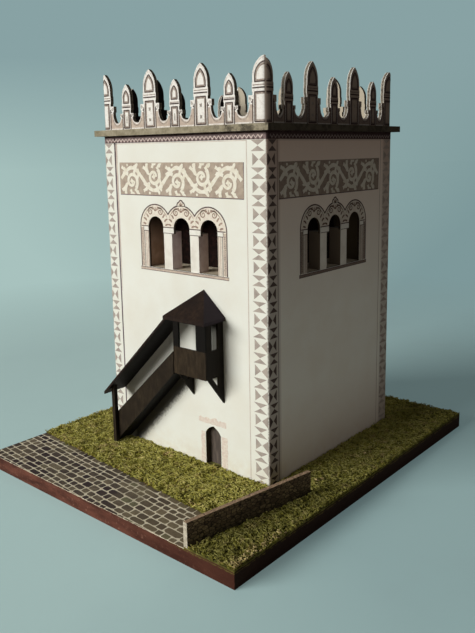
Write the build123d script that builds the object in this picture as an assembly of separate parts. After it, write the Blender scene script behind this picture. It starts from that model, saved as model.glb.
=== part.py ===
from build123d import *
import math
import os

# Card model of a square bell tower, about 1:100, glued on a scenic base board.
# Millimetres. Origin: centre of the underside of the base board. The front faces -Y, +Z is up.

# base board and its ground sheets
BOARD_WIDTH = 125.0
BOARD_DEPTH = 149.0
BOARD_THICKNESS = 4.9
TURF_THICKNESS = 0.8
COBBLE_THICKNESS = 0.3
KERB_LEFT = 25.4            # depth of the cobbled street at the board's left edge
KERB_ANGLE = -4.3           # the kerb runs back towards the viewer on its right
SHEET_GAP = 0.1             # cutting gap between cobble sheet and turf

# low boundary wall, standing on the turf beside the street
BOUNDARY_INSET = 19.5       # its left face at the board's front edge, from the board's right edge
BOUNDARY_ANGLE = 10.5       # turned clockwise from straight back
BOUNDARY_LENGTH = 50.5
BOUNDARY_THICKNESS = 1.5
BOUNDARY_HEIGHT = 8.0

# tower shell of card
TOWER_WIDTH = 80.0
TOWER_SETBACK = 44.8        # board's front edge to the front wall
WALL_HEIGHT = 119.8
WALL_THICKNESS = 1.0
WALL_FOLD = 0.8             # outside radius of the folded corners
SLAB_THICKNESS = 2.2
SLAB_OVERHANG = 2.5

# triple arched window in every wall
SILL_HEIGHT = 71.2
IMPOST_HEIGHT = 86.3
IMPOST_BLOCK = 2.0          # height of the hanging block between two arches
ARCH_WIDTH = 8.0
MULLION_WIDTH = 5.35
FRONT_WINDOW_SHIFT = 0.9    # the windows sit off the middle of the walls
SIDE_WINDOW_SHIFT = -0.5
NICHE_DEPTH = 11.6
NICHE_MARGIN = 1.2          # the niche is wider and higher than the openings
NICHE_CARD = 0.8
PIER_WIDTH = 4.2            # from the left edge of the hanging block above it
PIER_DEPTH = 4.8
PIER_SET_BACK = 0.15        # behind the face of the wall
PIER_LAP = 0.6              # the pier's head is rebated behind the hanging block

# blind door at the foot of the front wall
DOOR_CENTRE = 14.0          # right of the tower's centre line
DOOR_WIDTH = 7.5
DOOR_SPRING = 12.4
DOOR_RISE = 2.9
DOOR_BULGE = 0.45           # of each slope of its pointed head
DOOR_RECESS = 1.4           # leaf set back behind the wall card
DOOR_CARD = 0.8
DOOR_LAP = 1.0              # glued edge round the opening

# parapet of merlons standing on the slab, one strip a side
PARAPET_THICKNESS = 1.4
PARAPET_FOLD = 2.0          # outside radius where the strip turns a corner
VALLEY_HEIGHT = 2.4
MOULDING_STEP = 0.2
VOLUTE_NECK = 0.5           # the apron starts this far in from the volute's outer edge
LARGE_WIDTH = 6.4
LARGE_TIP = 20.7
LARGE_SPRING = 14.6
LARGE_BAND_FOOT = 9.9
LARGE_BAND_HEAD = 12.6
LARGE_VOLUTE_FOOT = 6.6
LARGE_VOLUTE_HEAD = 8.8
LARGE_VOLUTE_WIDTH = 1.7
SMALL_WIDTH = 4.6
SMALL_TIP = 16.4
SMALL_SPRING = 11.6
SMALL_BAND_FOOT = 7.2
SMALL_BAND_HEAD = 9.3
SMALL_VOLUTE_FOOT = 4.6
SMALL_VOLUTE_HEAD = 5.9
SMALL_VOLUTE_WIDTH = 1.4
MERLONS_PER_SIDE = 5        # between the corner merlons, small and large in turn
NEAR_HALF = 4.55            # half width of the merlon folded round the front right corner
NEAR_AXIS = 1.05            # its axis, from the fold along the front strip
FAR_HALF = 4.1
FAR_AXIS = 2.4              # along the right strip
LEFT_HALF = 3.0
LEFT_AXIS = 1.9             # along the front strip
FRONT_FIRST = 13.9          # axis of the first small merlon from the strip's left end
FRONT_LAST = 15.4           # axis of the last small merlon from the strip's right end
SIDE_FIRST = 11.7
SIDE_LAST = 14.6
CORNER_APRON = 1.5          # apron drawn past a corner merlon and trimmed off at the fold

# covered balcony on the front wall; heights are above the turf
BALCONY_LEFT = 4.4          # its left edge, right of the tower's centre line
BALCONY_WIDTH = 15.5
BALCONY_DEPTH = 9.3
BALCONY_BASE = 36.1
BALCONY_FLOOR = 39.2
BALCONY_RAIL = 45.9
BALCONY_EAVES = 56.8
BALCONY_APEX = 65.6
BALCONY_CARD = 0.8
ROOF_CARD = 1.1             # measured upright
EAVES_STAIR_SIDE = 3.2      # the eaves reach out over the head of the stair roof
EAVES_SIDE = 1.2
EAVES_FRONT = 1.7
TOP_RAIL = 1.8              # from the eaves down to the head of the lights
LEFT_POST = 2.6
FRONT_LEAF = 4.4            # leaves of the folded corner post
SIDE_LEAF = 3.3
WALL_POST = 2.8
BRACKET_FOOT = 25.5
BRACKET_REACH = 8.2
BRACKET_BAR = 1.7

# covered stair rising to the balcony along the front wall
STAIR_PITCH = 45.5
STEP_COUNT = 22
FLIGHT_CARD = 0.5           # least card under a step, measured upright
PANEL_CARD = 0.8
PANEL_LEFT_HEIGHT = 11.2    # the outer panel narrows as it rises
PANEL_RIGHT_HEIGHT = 8.4
PANEL_GAP = 2.1             # from its upper end to the balcony
PANEL_RUN = 32.0
POST_SIZE = 1.6
STAIR_ROOF_PITCH = 44.3
STAIR_ROOF_CARD = 0.8
STAIR_ROOF_RISE = 1.8       # its slope would meet the balcony's side this far above the eaves
STAIR_ROOF_OVERHANG = 2.5   # past the foot post

SIDES = ("front", "right", "back", "left")

# levels and places that follow from the sizes above
BOARD_TOP = BOARD_THICKNESS
GROUND = BOARD_TOP + TURF_THICKNESS
BOUNDARY_START = BOARD_WIDTH / 2 - BOUNDARY_INSET
FRONT = -BOARD_DEPTH / 2 + TOWER_SETBACK
TOWER_Y = FRONT + TOWER_WIDTH / 2
TOWER_AXIS = Axis((0, TOWER_Y, 0), (0, 0, 1))
SLAB_BOTTOM = GROUND + WALL_HEIGHT
SLAB_TOP = SLAB_BOTTOM + SLAB_THICKNESS


def block(x, y, z):
    """Box between two corners, each axis given as (low, high)."""
    size = (x[1] - x[0], y[1] - y[0], z[1] - z[0])
    box = Box(*size, align=(Align.MIN, Align.MIN, Align.MIN))
    return Pos(x[0], y[0], z[0]) * box


def upright(edges, front, thickness):
    """Sheet standing across the front: outline in X and Z, from y = front towards the back."""
    face = make_face(Wire(edges))
    plane = Plane(origin=(0, front + thickness, 0), x_dir=(1, 0, 0), z_dir=(0, -1, 0))
    return extrude(plane * face, amount=thickness)


def flat(points, bottom, thickness):
    """Sheet lying on a level, from its plan outline."""
    face = make_face(Polyline(*points, close=True))
    return Pos(0, 0, bottom) * extrude(face, amount=thickness)


def lines(*points):
    return [Line(a, b) for a, b in zip(points, points[1:])]


def on_side(shape, side):
    """A shape drawn at the front, turned with the plan to another side of the tower."""
    return shape.rotate(TOWER_AXIS, SIDES.index(side) * 360 / len(SIDES))


def mitre(depth, fold):
    """Plan of one side's sheet, both ends cut to 45 degrees where it meets the rounded folds."""
    half = TOWER_WIDTH / 2
    corners = [(-half, FRONT), (half, FRONT), (half - depth, FRONT + depth), (depth - half, FRONT + depth)]
    column = extrude(RectangleRounded(TOWER_WIDTH, TOWER_WIDTH, fold), amount=SLAB_TOP + LARGE_TIP)
    return flat(corners, 0, SLAB_TOP + LARGE_TIP) & (Pos(0, TOWER_Y, 0) * column)


def one_solid(shape):
    """The single solid of a cut or joined shape."""
    return shape.solids().sort_by(SortBy.VOLUME)[-1]


# ---------------------------------------------------------------- base

def over_board(bottom, top):
    """Block over the board's whole plan, between two levels."""
    half_width, half_depth = BOARD_WIDTH / 2, BOARD_DEPTH / 2
    return block((-half_width, half_width), (-half_depth, half_depth), (bottom, top))


def base_board():
    return over_board(0, BOARD_TOP)


def boundary_point(along, across):
    """Plan point on the low wall: along it from the board's edge, across it from its left face."""
    turn = math.radians(BOUNDARY_ANGLE)
    x = BOUNDARY_START + along * math.sin(turn) + across * math.cos(turn)
    y = -BOARD_DEPTH / 2 + along * math.cos(turn) - across * math.sin(turn)
    return (x, y)


def kerb_point(x):
    slope = math.tan(math.radians(KERB_ANGLE))
    return (x, -BOARD_DEPTH / 2 + KERB_LEFT + (x + BOARD_WIDTH / 2) * slope)


def kerb_end(across):
    """Where the kerb meets the line of the low wall, offset sideways by across."""
    turn = math.tan(math.radians(BOUNDARY_ANGLE))
    slope = math.tan(math.radians(KERB_ANGLE))
    foot = BOUNDARY_START + across / math.cos(math.radians(BOUNDARY_ANGLE))
    rise = KERB_LEFT + (foot + BOARD_WIDTH / 2) * slope
    along = rise / (1 - turn * slope)
    return (foot + along * turn, -BOARD_DEPTH / 2 + along)


def street_plan(inset):
    """Outline of the cobbled street, drawn in from turf and wall by inset."""
    left = -BOARD_WIDTH / 2
    near = -BOARD_DEPTH / 2
    corner = kerb_end(-inset)
    edge = kerb_point(left)
    foot = BOUNDARY_START - inset / math.cos(math.radians(BOUNDARY_ANGLE))
    return [(left, near), (foot, near), (corner[0], corner[1] - inset), (left, edge[1] - inset)]


def cobble_sheet():
    return flat(street_plan(SHEET_GAP), BOARD_TOP, COBBLE_THICKNESS)


def turf_mat():
    return one_solid(over_board(BOARD_TOP, GROUND) - flat(street_plan(0), BOARD_TOP, TURF_THICKNESS))


def boundary_wall():
    near, far = -BOUNDARY_THICKNESS, BOUNDARY_LENGTH
    body = [boundary_point(near, 0), boundary_point(near, BOUNDARY_THICKNESS),
            boundary_point(far, BOUNDARY_THICKNESS), boundary_point(far, 0)]
    return one_solid(flat(body, GROUND, BOUNDARY_HEIGHT) & over_board(GROUND, GROUND + BOUNDARY_HEIGHT))


# ---------------------------------------------------------------- walls and windows

ARCH_PITCH = ARCH_WIDTH + MULLION_WIDTH
WINDOW_HALF = ARCH_PITCH + ARCH_WIDTH / 2


def window_centre(side):
    return FRONT_WINDOW_SHIFT if side in ("front", "back") else SIDE_WINDOW_SHIFT


def window_cut(centre):
    """Through-cut of the triple window: three round arches over one wide light."""
    front, depth = FRONT, WALL_THICKNESS
    impost = GROUND + IMPOST_HEIGHT
    radius = ARCH_WIDTH / 2
    across = (centre - WINDOW_HALF, centre + WINDOW_HALF)
    cut = block(across, (front, front + depth), (GROUND + SILL_HEIGHT, impost - IMPOST_BLOCK))
    for axis in (centre - ARCH_PITCH, centre, centre + ARCH_PITCH):
        left, right = (axis - radius, impost - IMPOST_BLOCK), (axis + radius, impost - IMPOST_BLOCK)
        head = ThreePointArc((right[0], impost), (axis, impost + radius), (left[0], impost))
        outline = lines(left, right, (right[0], impost)) + [head] + lines((left[0], impost), left)
        cut = cut + upright(outline, front, depth)
    return cut


def door_outline(margin):
    """Pointed door head, widened all round by margin but not below the ground."""
    half = DOOR_WIDTH / 2 + margin
    spring = GROUND + DOOR_SPRING
    rise = DOOR_RISE + margin
    slope = math.hypot(half, rise)
    reach = half / 2 + DOOR_BULGE * rise / slope
    lift = rise / 2 + DOOR_BULGE * half / slope
    right, left = DOOR_CENTRE + half, DOOR_CENTRE - half
    tip = (DOOR_CENTRE, spring + rise)
    outline = lines((left, GROUND), (right, GROUND), (right, spring))
    outline += [ThreePointArc((right, spring), (DOOR_CENTRE + reach, spring + lift), tip)]
    outline += [ThreePointArc(tip, (DOOR_CENTRE - reach, spring + lift), (left, spring))]
    return outline + lines((left, spring), (left, GROUND))


def wall(side):
    half = TOWER_WIDTH / 2
    sheet = block((-half, half), (FRONT, FRONT + WALL_THICKNESS), (GROUND, SLAB_BOTTOM))
    sheet = sheet & mitre(WALL_THICKNESS, WALL_FOLD)
    sheet = sheet - window_cut(window_centre(side))
    if side == "front":
        sheet = sheet - upright(door_outline(0), FRONT, WALL_THICKNESS)
    return on_side(one_solid(sheet), side)


def niche(side):
    """Closed card box behind a window: floor, cheeks, ceiling and back."""
    centre = window_centre(side)
    inner = WINDOW_HALF + NICHE_MARGIN
    floor = GROUND + SILL_HEIGHT
    ceiling = GROUND + IMPOST_HEIGHT + ARCH_WIDTH / 2 + NICHE_MARGIN
    near = FRONT + WALL_THICKNESS
    outer = inner + NICHE_CARD
    height = (floor - NICHE_CARD, ceiling + NICHE_CARD)
    shell = block((centre - outer, centre + outer), (near, near + NICHE_DEPTH + NICHE_CARD), height)
    hollow = block((centre - inner, centre + inner), (near, near + NICHE_DEPTH), (floor, ceiling))
    return on_side(one_solid(shell - hollow), side)


def pier(side, hand):
    """Card post under the left (hand = -1) or right (hand = 1) hanging block."""
    left = window_centre(side) + hand * ARCH_PITCH / 2 - MULLION_WIDTH / 2
    across = (left, left + PIER_WIDTH)
    near, behind = FRONT + PIER_SET_BACK, FRONT + WALL_THICKNESS
    foot = GROUND + IMPOST_HEIGHT - IMPOST_BLOCK
    post = block(across, (near, near + PIER_DEPTH), (GROUND + SILL_HEIGHT, foot + PIER_LAP))
    rebate = block(across, (near, behind), (foot, foot + PIER_LAP))
    return on_side(one_solid(post - rebate), side)


def door_panel():
    """Shallow card tray behind the opening; its back is the closed door leaf."""
    near = FRONT + WALL_THICKNESS
    tray = upright(door_outline(DOOR_LAP), near, DOOR_RECESS + DOOR_CARD)
    return one_solid(tray - upright(door_outline(0), near, DOOR_RECESS))


# ---------------------------------------------------------------- cornice and parapet

def cornice_slab():
    reach = TOWER_WIDTH / 2 + SLAB_OVERHANG
    return block((-reach, reach), (TOWER_Y - reach, TOWER_Y + reach), (SLAB_BOTTOM, SLAB_TOP))


LARGE = {
    "tip": LARGE_TIP,
    "spring": LARGE_SPRING,
    "band": (LARGE_BAND_FOOT, LARGE_BAND_HEAD),
    "volute": (LARGE_VOLUTE_FOOT, LARGE_VOLUTE_HEAD),
    "reach": LARGE_VOLUTE_WIDTH,
}
SMALL = {
    "tip": SMALL_TIP,
    "spring": SMALL_SPRING,
    "band": (SMALL_BAND_FOOT, SMALL_BAND_HEAD),
    "volute": (SMALL_VOLUTE_FOOT, SMALL_VOLUTE_HEAD),
    "reach": SMALL_VOLUTE_WIDTH,
}


# merlon at each corner: its axis from the fold, along the first side or (negative) the second
CORNERS = (
    (NEAR_AXIS, NEAR_HALF),      # front and right
    (FAR_AXIS, FAR_HALF),        # right and back
    (NEAR_AXIS, NEAR_HALF),      # back and left
    (-LEFT_AXIS, LEFT_HALF),     # left and front
)


def flank(axis, half, kind, side, valley):
    """Right (side = 1) or left (side = -1) outline of a merlon, from its tip down to the valley."""
    def at(offset, height):
        return (axis + side * offset, height)

    rise = kind["tip"] - kind["spring"]
    radius = (half ** 2 + rise ** 2) / (2 * half)
    turn = math.atan2(rise, radius - half) / 2
    middle = at(radius * math.cos(turn) - (radius - half), kind["spring"] + radius * math.sin(turn))
    low, high = kind["band"]
    wide = half + MOULDING_STEP
    foot, top = kind["volute"]
    outer = half + kind["reach"]
    neck = outer - VOLUTE_NECK
    path = [ThreePointArc(at(0, kind["tip"]), middle, at(half, kind["spring"]))]
    path += lines(at(half, kind["spring"]), at(half, high), at(wide, high), at(wide, low), at(half, low))
    path += lines(at(half, low), at(half, top), at(outer, top), at(outer, foot), at(neck, foot))
    span = valley - at(neck, foot)[0]
    drop = foot - VALLEY_HEIGHT
    bend = (valley - span * math.sqrt(0.5), foot - drop * math.sqrt(0.5))
    path += [Spline(at(neck, foot), bend, (valley, VALLEY_HEIGHT), tangents=[(0, -1), (side, 0)])]
    return path


def parapet(side):
    """Strip of merlons: small and large in turn between two that fold round the corners."""
    across = side in ("front", "back")
    first = FRONT_FIRST if across else SIDE_FIRST
    last = FRONT_LAST if across else SIDE_LAST
    pitch = (TOWER_WIDTH - first - last) / (MERLONS_PER_SIDE - 1)
    left_axis, left_half = CORNERS[SIDES.index(side) - 1]
    right_axis, right_half = CORNERS[SIDES.index(side)]
    half_run = TOWER_WIDTH / 2
    merlons = [(-half_run - left_axis, left_half, LARGE)]
    for number in range(MERLONS_PER_SIDE):
        kind = LARGE if number % 2 else SMALL
        width = LARGE_WIDTH if number % 2 else SMALL_WIDTH
        merlons.append((-half_run + first + number * pitch, width / 2, kind))
    merlons.append((half_run - right_axis, right_half, LARGE))
    spare = LARGE["reach"] + CORNER_APRON
    left_end = merlons[0][0] - left_half - spare
    right_end = merlons[-1][0] + right_half + spare
    outline = flank(*merlons[0], -1, left_end) + flank(*merlons[-1], 1, right_end)
    for here, after in zip(merlons, merlons[1:]):
        right = here[0] + here[1] + here[2]["reach"]
        left = after[0] - after[1] - after[2]["reach"]
        valley = (right + left) / 2
        outline += flank(*here, 1, valley)
        outline += flank(*after, -1, valley)
    outline += lines((right_end, VALLEY_HEIGHT), (right_end, 0), (left_end, 0), (left_end, VALLEY_HEIGHT))
    strip = Pos(0, 0, SLAB_TOP) * upright(outline, FRONT, PARAPET_THICKNESS)
    return on_side(one_solid(strip & mitre(PARAPET_THICKNESS, PARAPET_FOLD)), side)


# ---------------------------------------------------------------- balcony

BALCONY_RIGHT = BALCONY_LEFT + BALCONY_WIDTH
BALCONY_FRONT = FRONT - BALCONY_DEPTH
EAVES_LEFT = BALCONY_LEFT - EAVES_STAIR_SIDE
EAVES_RIGHT = BALCONY_RIGHT + EAVES_SIDE
EAVES_Y = BALCONY_FRONT - EAVES_FRONT


def sideways(points, left, thickness):
    """Sheet facing the side: outline in Y and Z, from x = left towards the right."""
    face = make_face(Polyline(*points, close=True))
    plane = Plane(origin=(left, 0, 0), x_dir=(0, 1, 0), z_dir=(1, 0, 0))
    return extrude(plane * face, amount=thickness)


def under_roof(drop):
    """Everything below the half pyramid against the wall, its slopes lowered by drop."""
    eaves = GROUND + BALCONY_EAVES - drop
    apex = GROUND + BALCONY_APEX - drop
    across = lines((EAVES_LEFT, GROUND), (EAVES_RIGHT, GROUND), (EAVES_RIGHT, eaves),
                   ((EAVES_LEFT + EAVES_RIGHT) / 2, apex), (EAVES_LEFT, eaves), (EAVES_LEFT, GROUND))
    slope = [(EAVES_Y, GROUND), (FRONT, GROUND), (FRONT, apex), (EAVES_Y, eaves)]
    return upright(across, EAVES_Y, FRONT - EAVES_Y) & sideways(slope, EAVES_LEFT, EAVES_RIGHT - EAVES_LEFT)


def balcony_roof():
    rim = GROUND + BALCONY_EAVES - ROOF_CARD
    above = block((EAVES_LEFT, EAVES_RIGHT), (EAVES_Y, FRONT), (rim, GROUND + BALCONY_APEX))
    return one_solid((under_roof(0) & above) - under_roof(ROOF_CARD))


def balcony_floor():
    inside = (BALCONY_LEFT, BALCONY_RIGHT - BALCONY_CARD)
    level = GROUND + BALCONY_FLOOR
    return block(inside, (BALCONY_FRONT + BALCONY_CARD, FRONT), (level - BALCONY_CARD, level))


def light_height():
    """Lower and upper edge of the balcony's open lights."""
    return (GROUND + BALCONY_RAIL, GROUND + BALCONY_EAVES - TOP_RAIL)


def balcony_front_panel():
    depth = (BALCONY_FRONT, BALCONY_FRONT + BALCONY_CARD)
    sheet = block((BALCONY_LEFT, BALCONY_RIGHT), depth, (GROUND + BALCONY_BASE, GROUND + BALCONY_APEX))
    light = block((BALCONY_LEFT + LEFT_POST, BALCONY_RIGHT - FRONT_LEAF), depth, light_height())
    return one_solid((sheet - light) & under_roof(ROOF_CARD))


def balcony_right_panel():
    width = (BALCONY_RIGHT - BALCONY_CARD, BALCONY_RIGHT)
    near = BALCONY_FRONT + BALCONY_CARD
    sheet = block(width, (near, FRONT), (GROUND + BALCONY_BASE, GROUND + BALCONY_APEX))
    light = block(width, (BALCONY_FRONT + SIDE_LEAF, FRONT - WALL_POST), light_height())
    return one_solid((sheet - light) & under_roof(ROOF_CARD))


def bracket(left):
    """Triangular card knee under the balcony, glued to the wall, with a triangular eye."""
    top = GROUND + BALCONY_BASE
    foot = GROUND + BRACKET_FOOT
    tip = FRONT - BRACKET_REACH
    plate = sideways([(FRONT, top), (tip, top), (FRONT, foot)], left, BALCONY_CARD)
    slope = (top - foot) / BRACKET_REACH
    inner = FRONT - WALL_POST
    bar = BRACKET_BAR * math.hypot(1, slope)
    eye = [(inner, top), (inner, foot + WALL_POST * slope + bar), (tip + bar / slope, top)]
    return one_solid(plate - sideways(eye, left, BALCONY_CARD))


# ---------------------------------------------------------------- stair

STAIR_SLOPE = math.tan(math.radians(STAIR_PITCH))
STEP_RISE = BALCONY_FLOOR / STEP_COUNT
STEP_GOING = STEP_RISE / STAIR_SLOPE
PANEL_Y = BALCONY_FRONT + POST_SIZE
PANEL_RIGHT = BALCONY_LEFT - PANEL_GAP
PANEL_LEFT = PANEL_RIGHT - PANEL_RUN
POST_LEFT = PANEL_LEFT - POST_SIZE


def soffit(x):
    """Height of the flight's underside, which is also the outer panel's lower edge."""
    return GROUND + BALCONY_FLOOR - STEP_RISE - FLIGHT_CARD + (x - BALCONY_LEFT) * STAIR_SLOPE


def stair_flight():
    """Folded flight: every tread and riser, over a straight underside."""
    foot = BALCONY_LEFT - (STEP_COUNT - 1) * STEP_GOING
    points = [(foot, GROUND)]
    for step in range(1, STEP_COUNT):
        nosing = BALCONY_LEFT - (STEP_COUNT - step) * STEP_GOING
        height = GROUND + step * STEP_RISE
        points += [(nosing, height), (nosing + STEP_GOING, height)]
    points += [(BALCONY_LEFT, soffit(BALCONY_LEFT))]
    landing = BALCONY_LEFT - (soffit(BALCONY_LEFT) - GROUND) / STAIR_SLOPE
    points += [(landing, GROUND), (foot, GROUND)]
    near = PANEL_Y + PANEL_CARD
    return upright(lines(*points), near, FRONT - near)


def stair_outer_panel():
    left, right = soffit(PANEL_LEFT), soffit(PANEL_RIGHT)
    outline = lines((PANEL_LEFT, left), (PANEL_RIGHT, right), (PANEL_RIGHT, right + PANEL_RIGHT_HEIGHT),
                    (PANEL_LEFT, left + PANEL_LEFT_HEIGHT), (PANEL_LEFT, left))
    return upright(outline, PANEL_Y, PANEL_CARD)


STAIR_ROOF_SLOPE = math.tan(math.radians(STAIR_ROOF_PITCH))
STAIR_ROOF_DROP = STAIR_ROOF_CARD / math.cos(math.radians(STAIR_ROOF_PITCH))


def stair_roof_top(x):
    return GROUND + BALCONY_EAVES + STAIR_ROOF_RISE + (x - BALCONY_LEFT) * STAIR_ROOF_SLOPE


def stair_roof():
    """Sloping sheet, its head cut level to seat under the balcony's eaves."""
    left = POST_LEFT - STAIR_ROOF_OVERHANG
    low = stair_roof_top(left)
    seat = GROUND + BALCONY_EAVES - ROOF_CARD
    head = BALCONY_LEFT - (STAIR_ROOF_RISE + ROOF_CARD) / STAIR_ROOF_SLOPE
    outline = lines((left, low), (head, seat), (head + STAIR_ROOF_DROP / STAIR_ROOF_SLOPE, seat),
                    (left, low - STAIR_ROOF_DROP), (left, low))
    return upright(outline, EAVES_Y, FRONT - EAVES_Y)


def stair_post():
    """Foot post, its head cut to the slope of the stair roof."""
    right = POST_LEFT + POST_SIZE
    low, high = stair_roof_top(POST_LEFT) - STAIR_ROOF_DROP, stair_roof_top(right) - STAIR_ROOF_DROP
    outline = lines((POST_LEFT, GROUND), (right, GROUND), (right, high),
                    (POST_LEFT, low), (POST_LEFT, GROUND))
    return upright(outline, BALCONY_FRONT, POST_SIZE)


# ---------------------------------------------------------------- assembly

def assembly():
    parts = {"base_board": base_board(), "turf_mat": turf_mat(), "cobble_sheet": cobble_sheet()}
    parts["boundary_wall"] = boundary_wall()
    for side in SIDES:
        parts[f"{side}_wall"] = wall(side)
        parts[f"{side}_niche"] = niche(side)
        parts[f"{side}_parapet"] = parapet(side)
        parts[f"{side}_pier_left"] = pier(side, -1)
        parts[f"{side}_pier_right"] = pier(side, 1)
    parts["door_panel"] = door_panel()
    parts["cornice_slab"] = cornice_slab()
    parts["balcony_roof"] = balcony_roof()
    parts["balcony_floor"] = balcony_floor()
    parts["balcony_front_panel"] = balcony_front_panel()
    parts["balcony_right_panel"] = balcony_right_panel()
    parts["bracket_left"] = bracket(BALCONY_LEFT)
    parts["bracket_right"] = bracket(BALCONY_RIGHT - BALCONY_CARD)
    parts["stair_flight"] = stair_flight()
    parts["stair_outer_panel"] = stair_outer_panel()
    parts["stair_roof"] = stair_roof()
    parts["stair_post"] = stair_post()
    return parts


os.makedirs("parts", exist_ok=True)
for name, shape in assembly().items():
    export_step(shape, f"parts/{name}.step")
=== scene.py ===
import math
import random

import bmesh
import bpy
import numpy as np
from mathutils import Matrix, Vector, noise

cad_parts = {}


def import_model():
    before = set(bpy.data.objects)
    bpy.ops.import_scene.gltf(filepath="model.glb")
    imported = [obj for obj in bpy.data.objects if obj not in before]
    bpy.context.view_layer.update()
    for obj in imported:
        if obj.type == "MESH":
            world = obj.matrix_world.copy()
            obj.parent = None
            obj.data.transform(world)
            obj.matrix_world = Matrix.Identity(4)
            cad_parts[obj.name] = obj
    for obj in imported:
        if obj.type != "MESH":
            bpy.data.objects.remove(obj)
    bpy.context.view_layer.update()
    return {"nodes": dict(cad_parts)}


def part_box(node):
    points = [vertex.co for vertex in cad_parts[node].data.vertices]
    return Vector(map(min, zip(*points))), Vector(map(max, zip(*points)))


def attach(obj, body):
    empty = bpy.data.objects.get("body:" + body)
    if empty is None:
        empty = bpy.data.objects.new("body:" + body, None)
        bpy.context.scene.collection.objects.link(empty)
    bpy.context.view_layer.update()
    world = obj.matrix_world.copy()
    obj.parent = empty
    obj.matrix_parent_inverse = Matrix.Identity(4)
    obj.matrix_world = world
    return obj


# Card model of a bell tower: finishes, printed ornament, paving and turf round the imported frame.
# Metres outside, millimetres inside the drawing helpers and the finishes' masks.

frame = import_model()

MM = 0.001
TURN = 2 * math.pi


# ---------------------------------------------------------------- places taken from the frame

def middle(node):
    low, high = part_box(node)
    return (low + high) / 2


def size_mm(node):
    low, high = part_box(node)
    return (high - low) / MM


WALL_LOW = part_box("front_wall")[0]
SLAB_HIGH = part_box("cornice_slab")[1]
BOARD_LOW, BOARD_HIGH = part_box("base_board")
GROUND = WALL_LOW.z
TOWER = Vector((middle("cornice_slab").x, middle("cornice_slab").y, 0))
HALF = (TOWER.y - WALL_LOW.y) / MM                     # half the tower's width
WALL_HEIGHT = size_mm("front_wall").z
SIDES = ("front", "right", "back", "left")
SEEDS = {"frieze": 40, "window": 7, "parapet": 90, "door": 5, "street": 11, "turf": 21}
ARCH_PITCH = (middle("front_pier_right").x - middle("front_pier_left").x) / MM
ARCH_RADIUS = 4.0
IMPOST = 86.3                                          # foot of the arches, above the turf
SILL = (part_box("front_pier_left")[0].z - GROUND) / MM
WALL_FOLD = 0.8                                        # outside radius of the folded corners
PARAPET_FOLD = 2.0
FOLD_STEP = 0.4                                        # longest step of a stroke
FOLD_SLICES = 3                                        # slices of a plate round half a fold
UNDER = -0.02                                          # underside of a print, just inside its card
STAIR_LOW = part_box("stair_outer_panel")[0]
BAY_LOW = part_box("balcony_right_panel")[0]
STAIR_PITCH = math.radians(45.5)
EDGE_X, EDGE_Y = BOARD_HIGH.x / MM, BOARD_HIGH.y / MM


def side_frame(number, base=GROUND, out=HALF):
    """From (across, up, out) in millimetres on one side of the tower to the row frame."""
    front = Matrix(((MM, 0, 0, 0), (0, 0, -MM, -out * MM), (0, MM, 0, base), (0, 0, 0, 1)))
    return Matrix.Translation(TOWER) @ Matrix.Rotation(number * TURN / 4, 4, "Z") @ front


def window_frame(number, side):
    """The side's frame moved across to the middle of its windows."""
    flat = side_frame(number)
    return flat @ Matrix.Translation(((flat.inverted() @ middle(f"{side}_niche")).x, 0, 0))


# ---------------------------------------------------------------- solids

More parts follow.
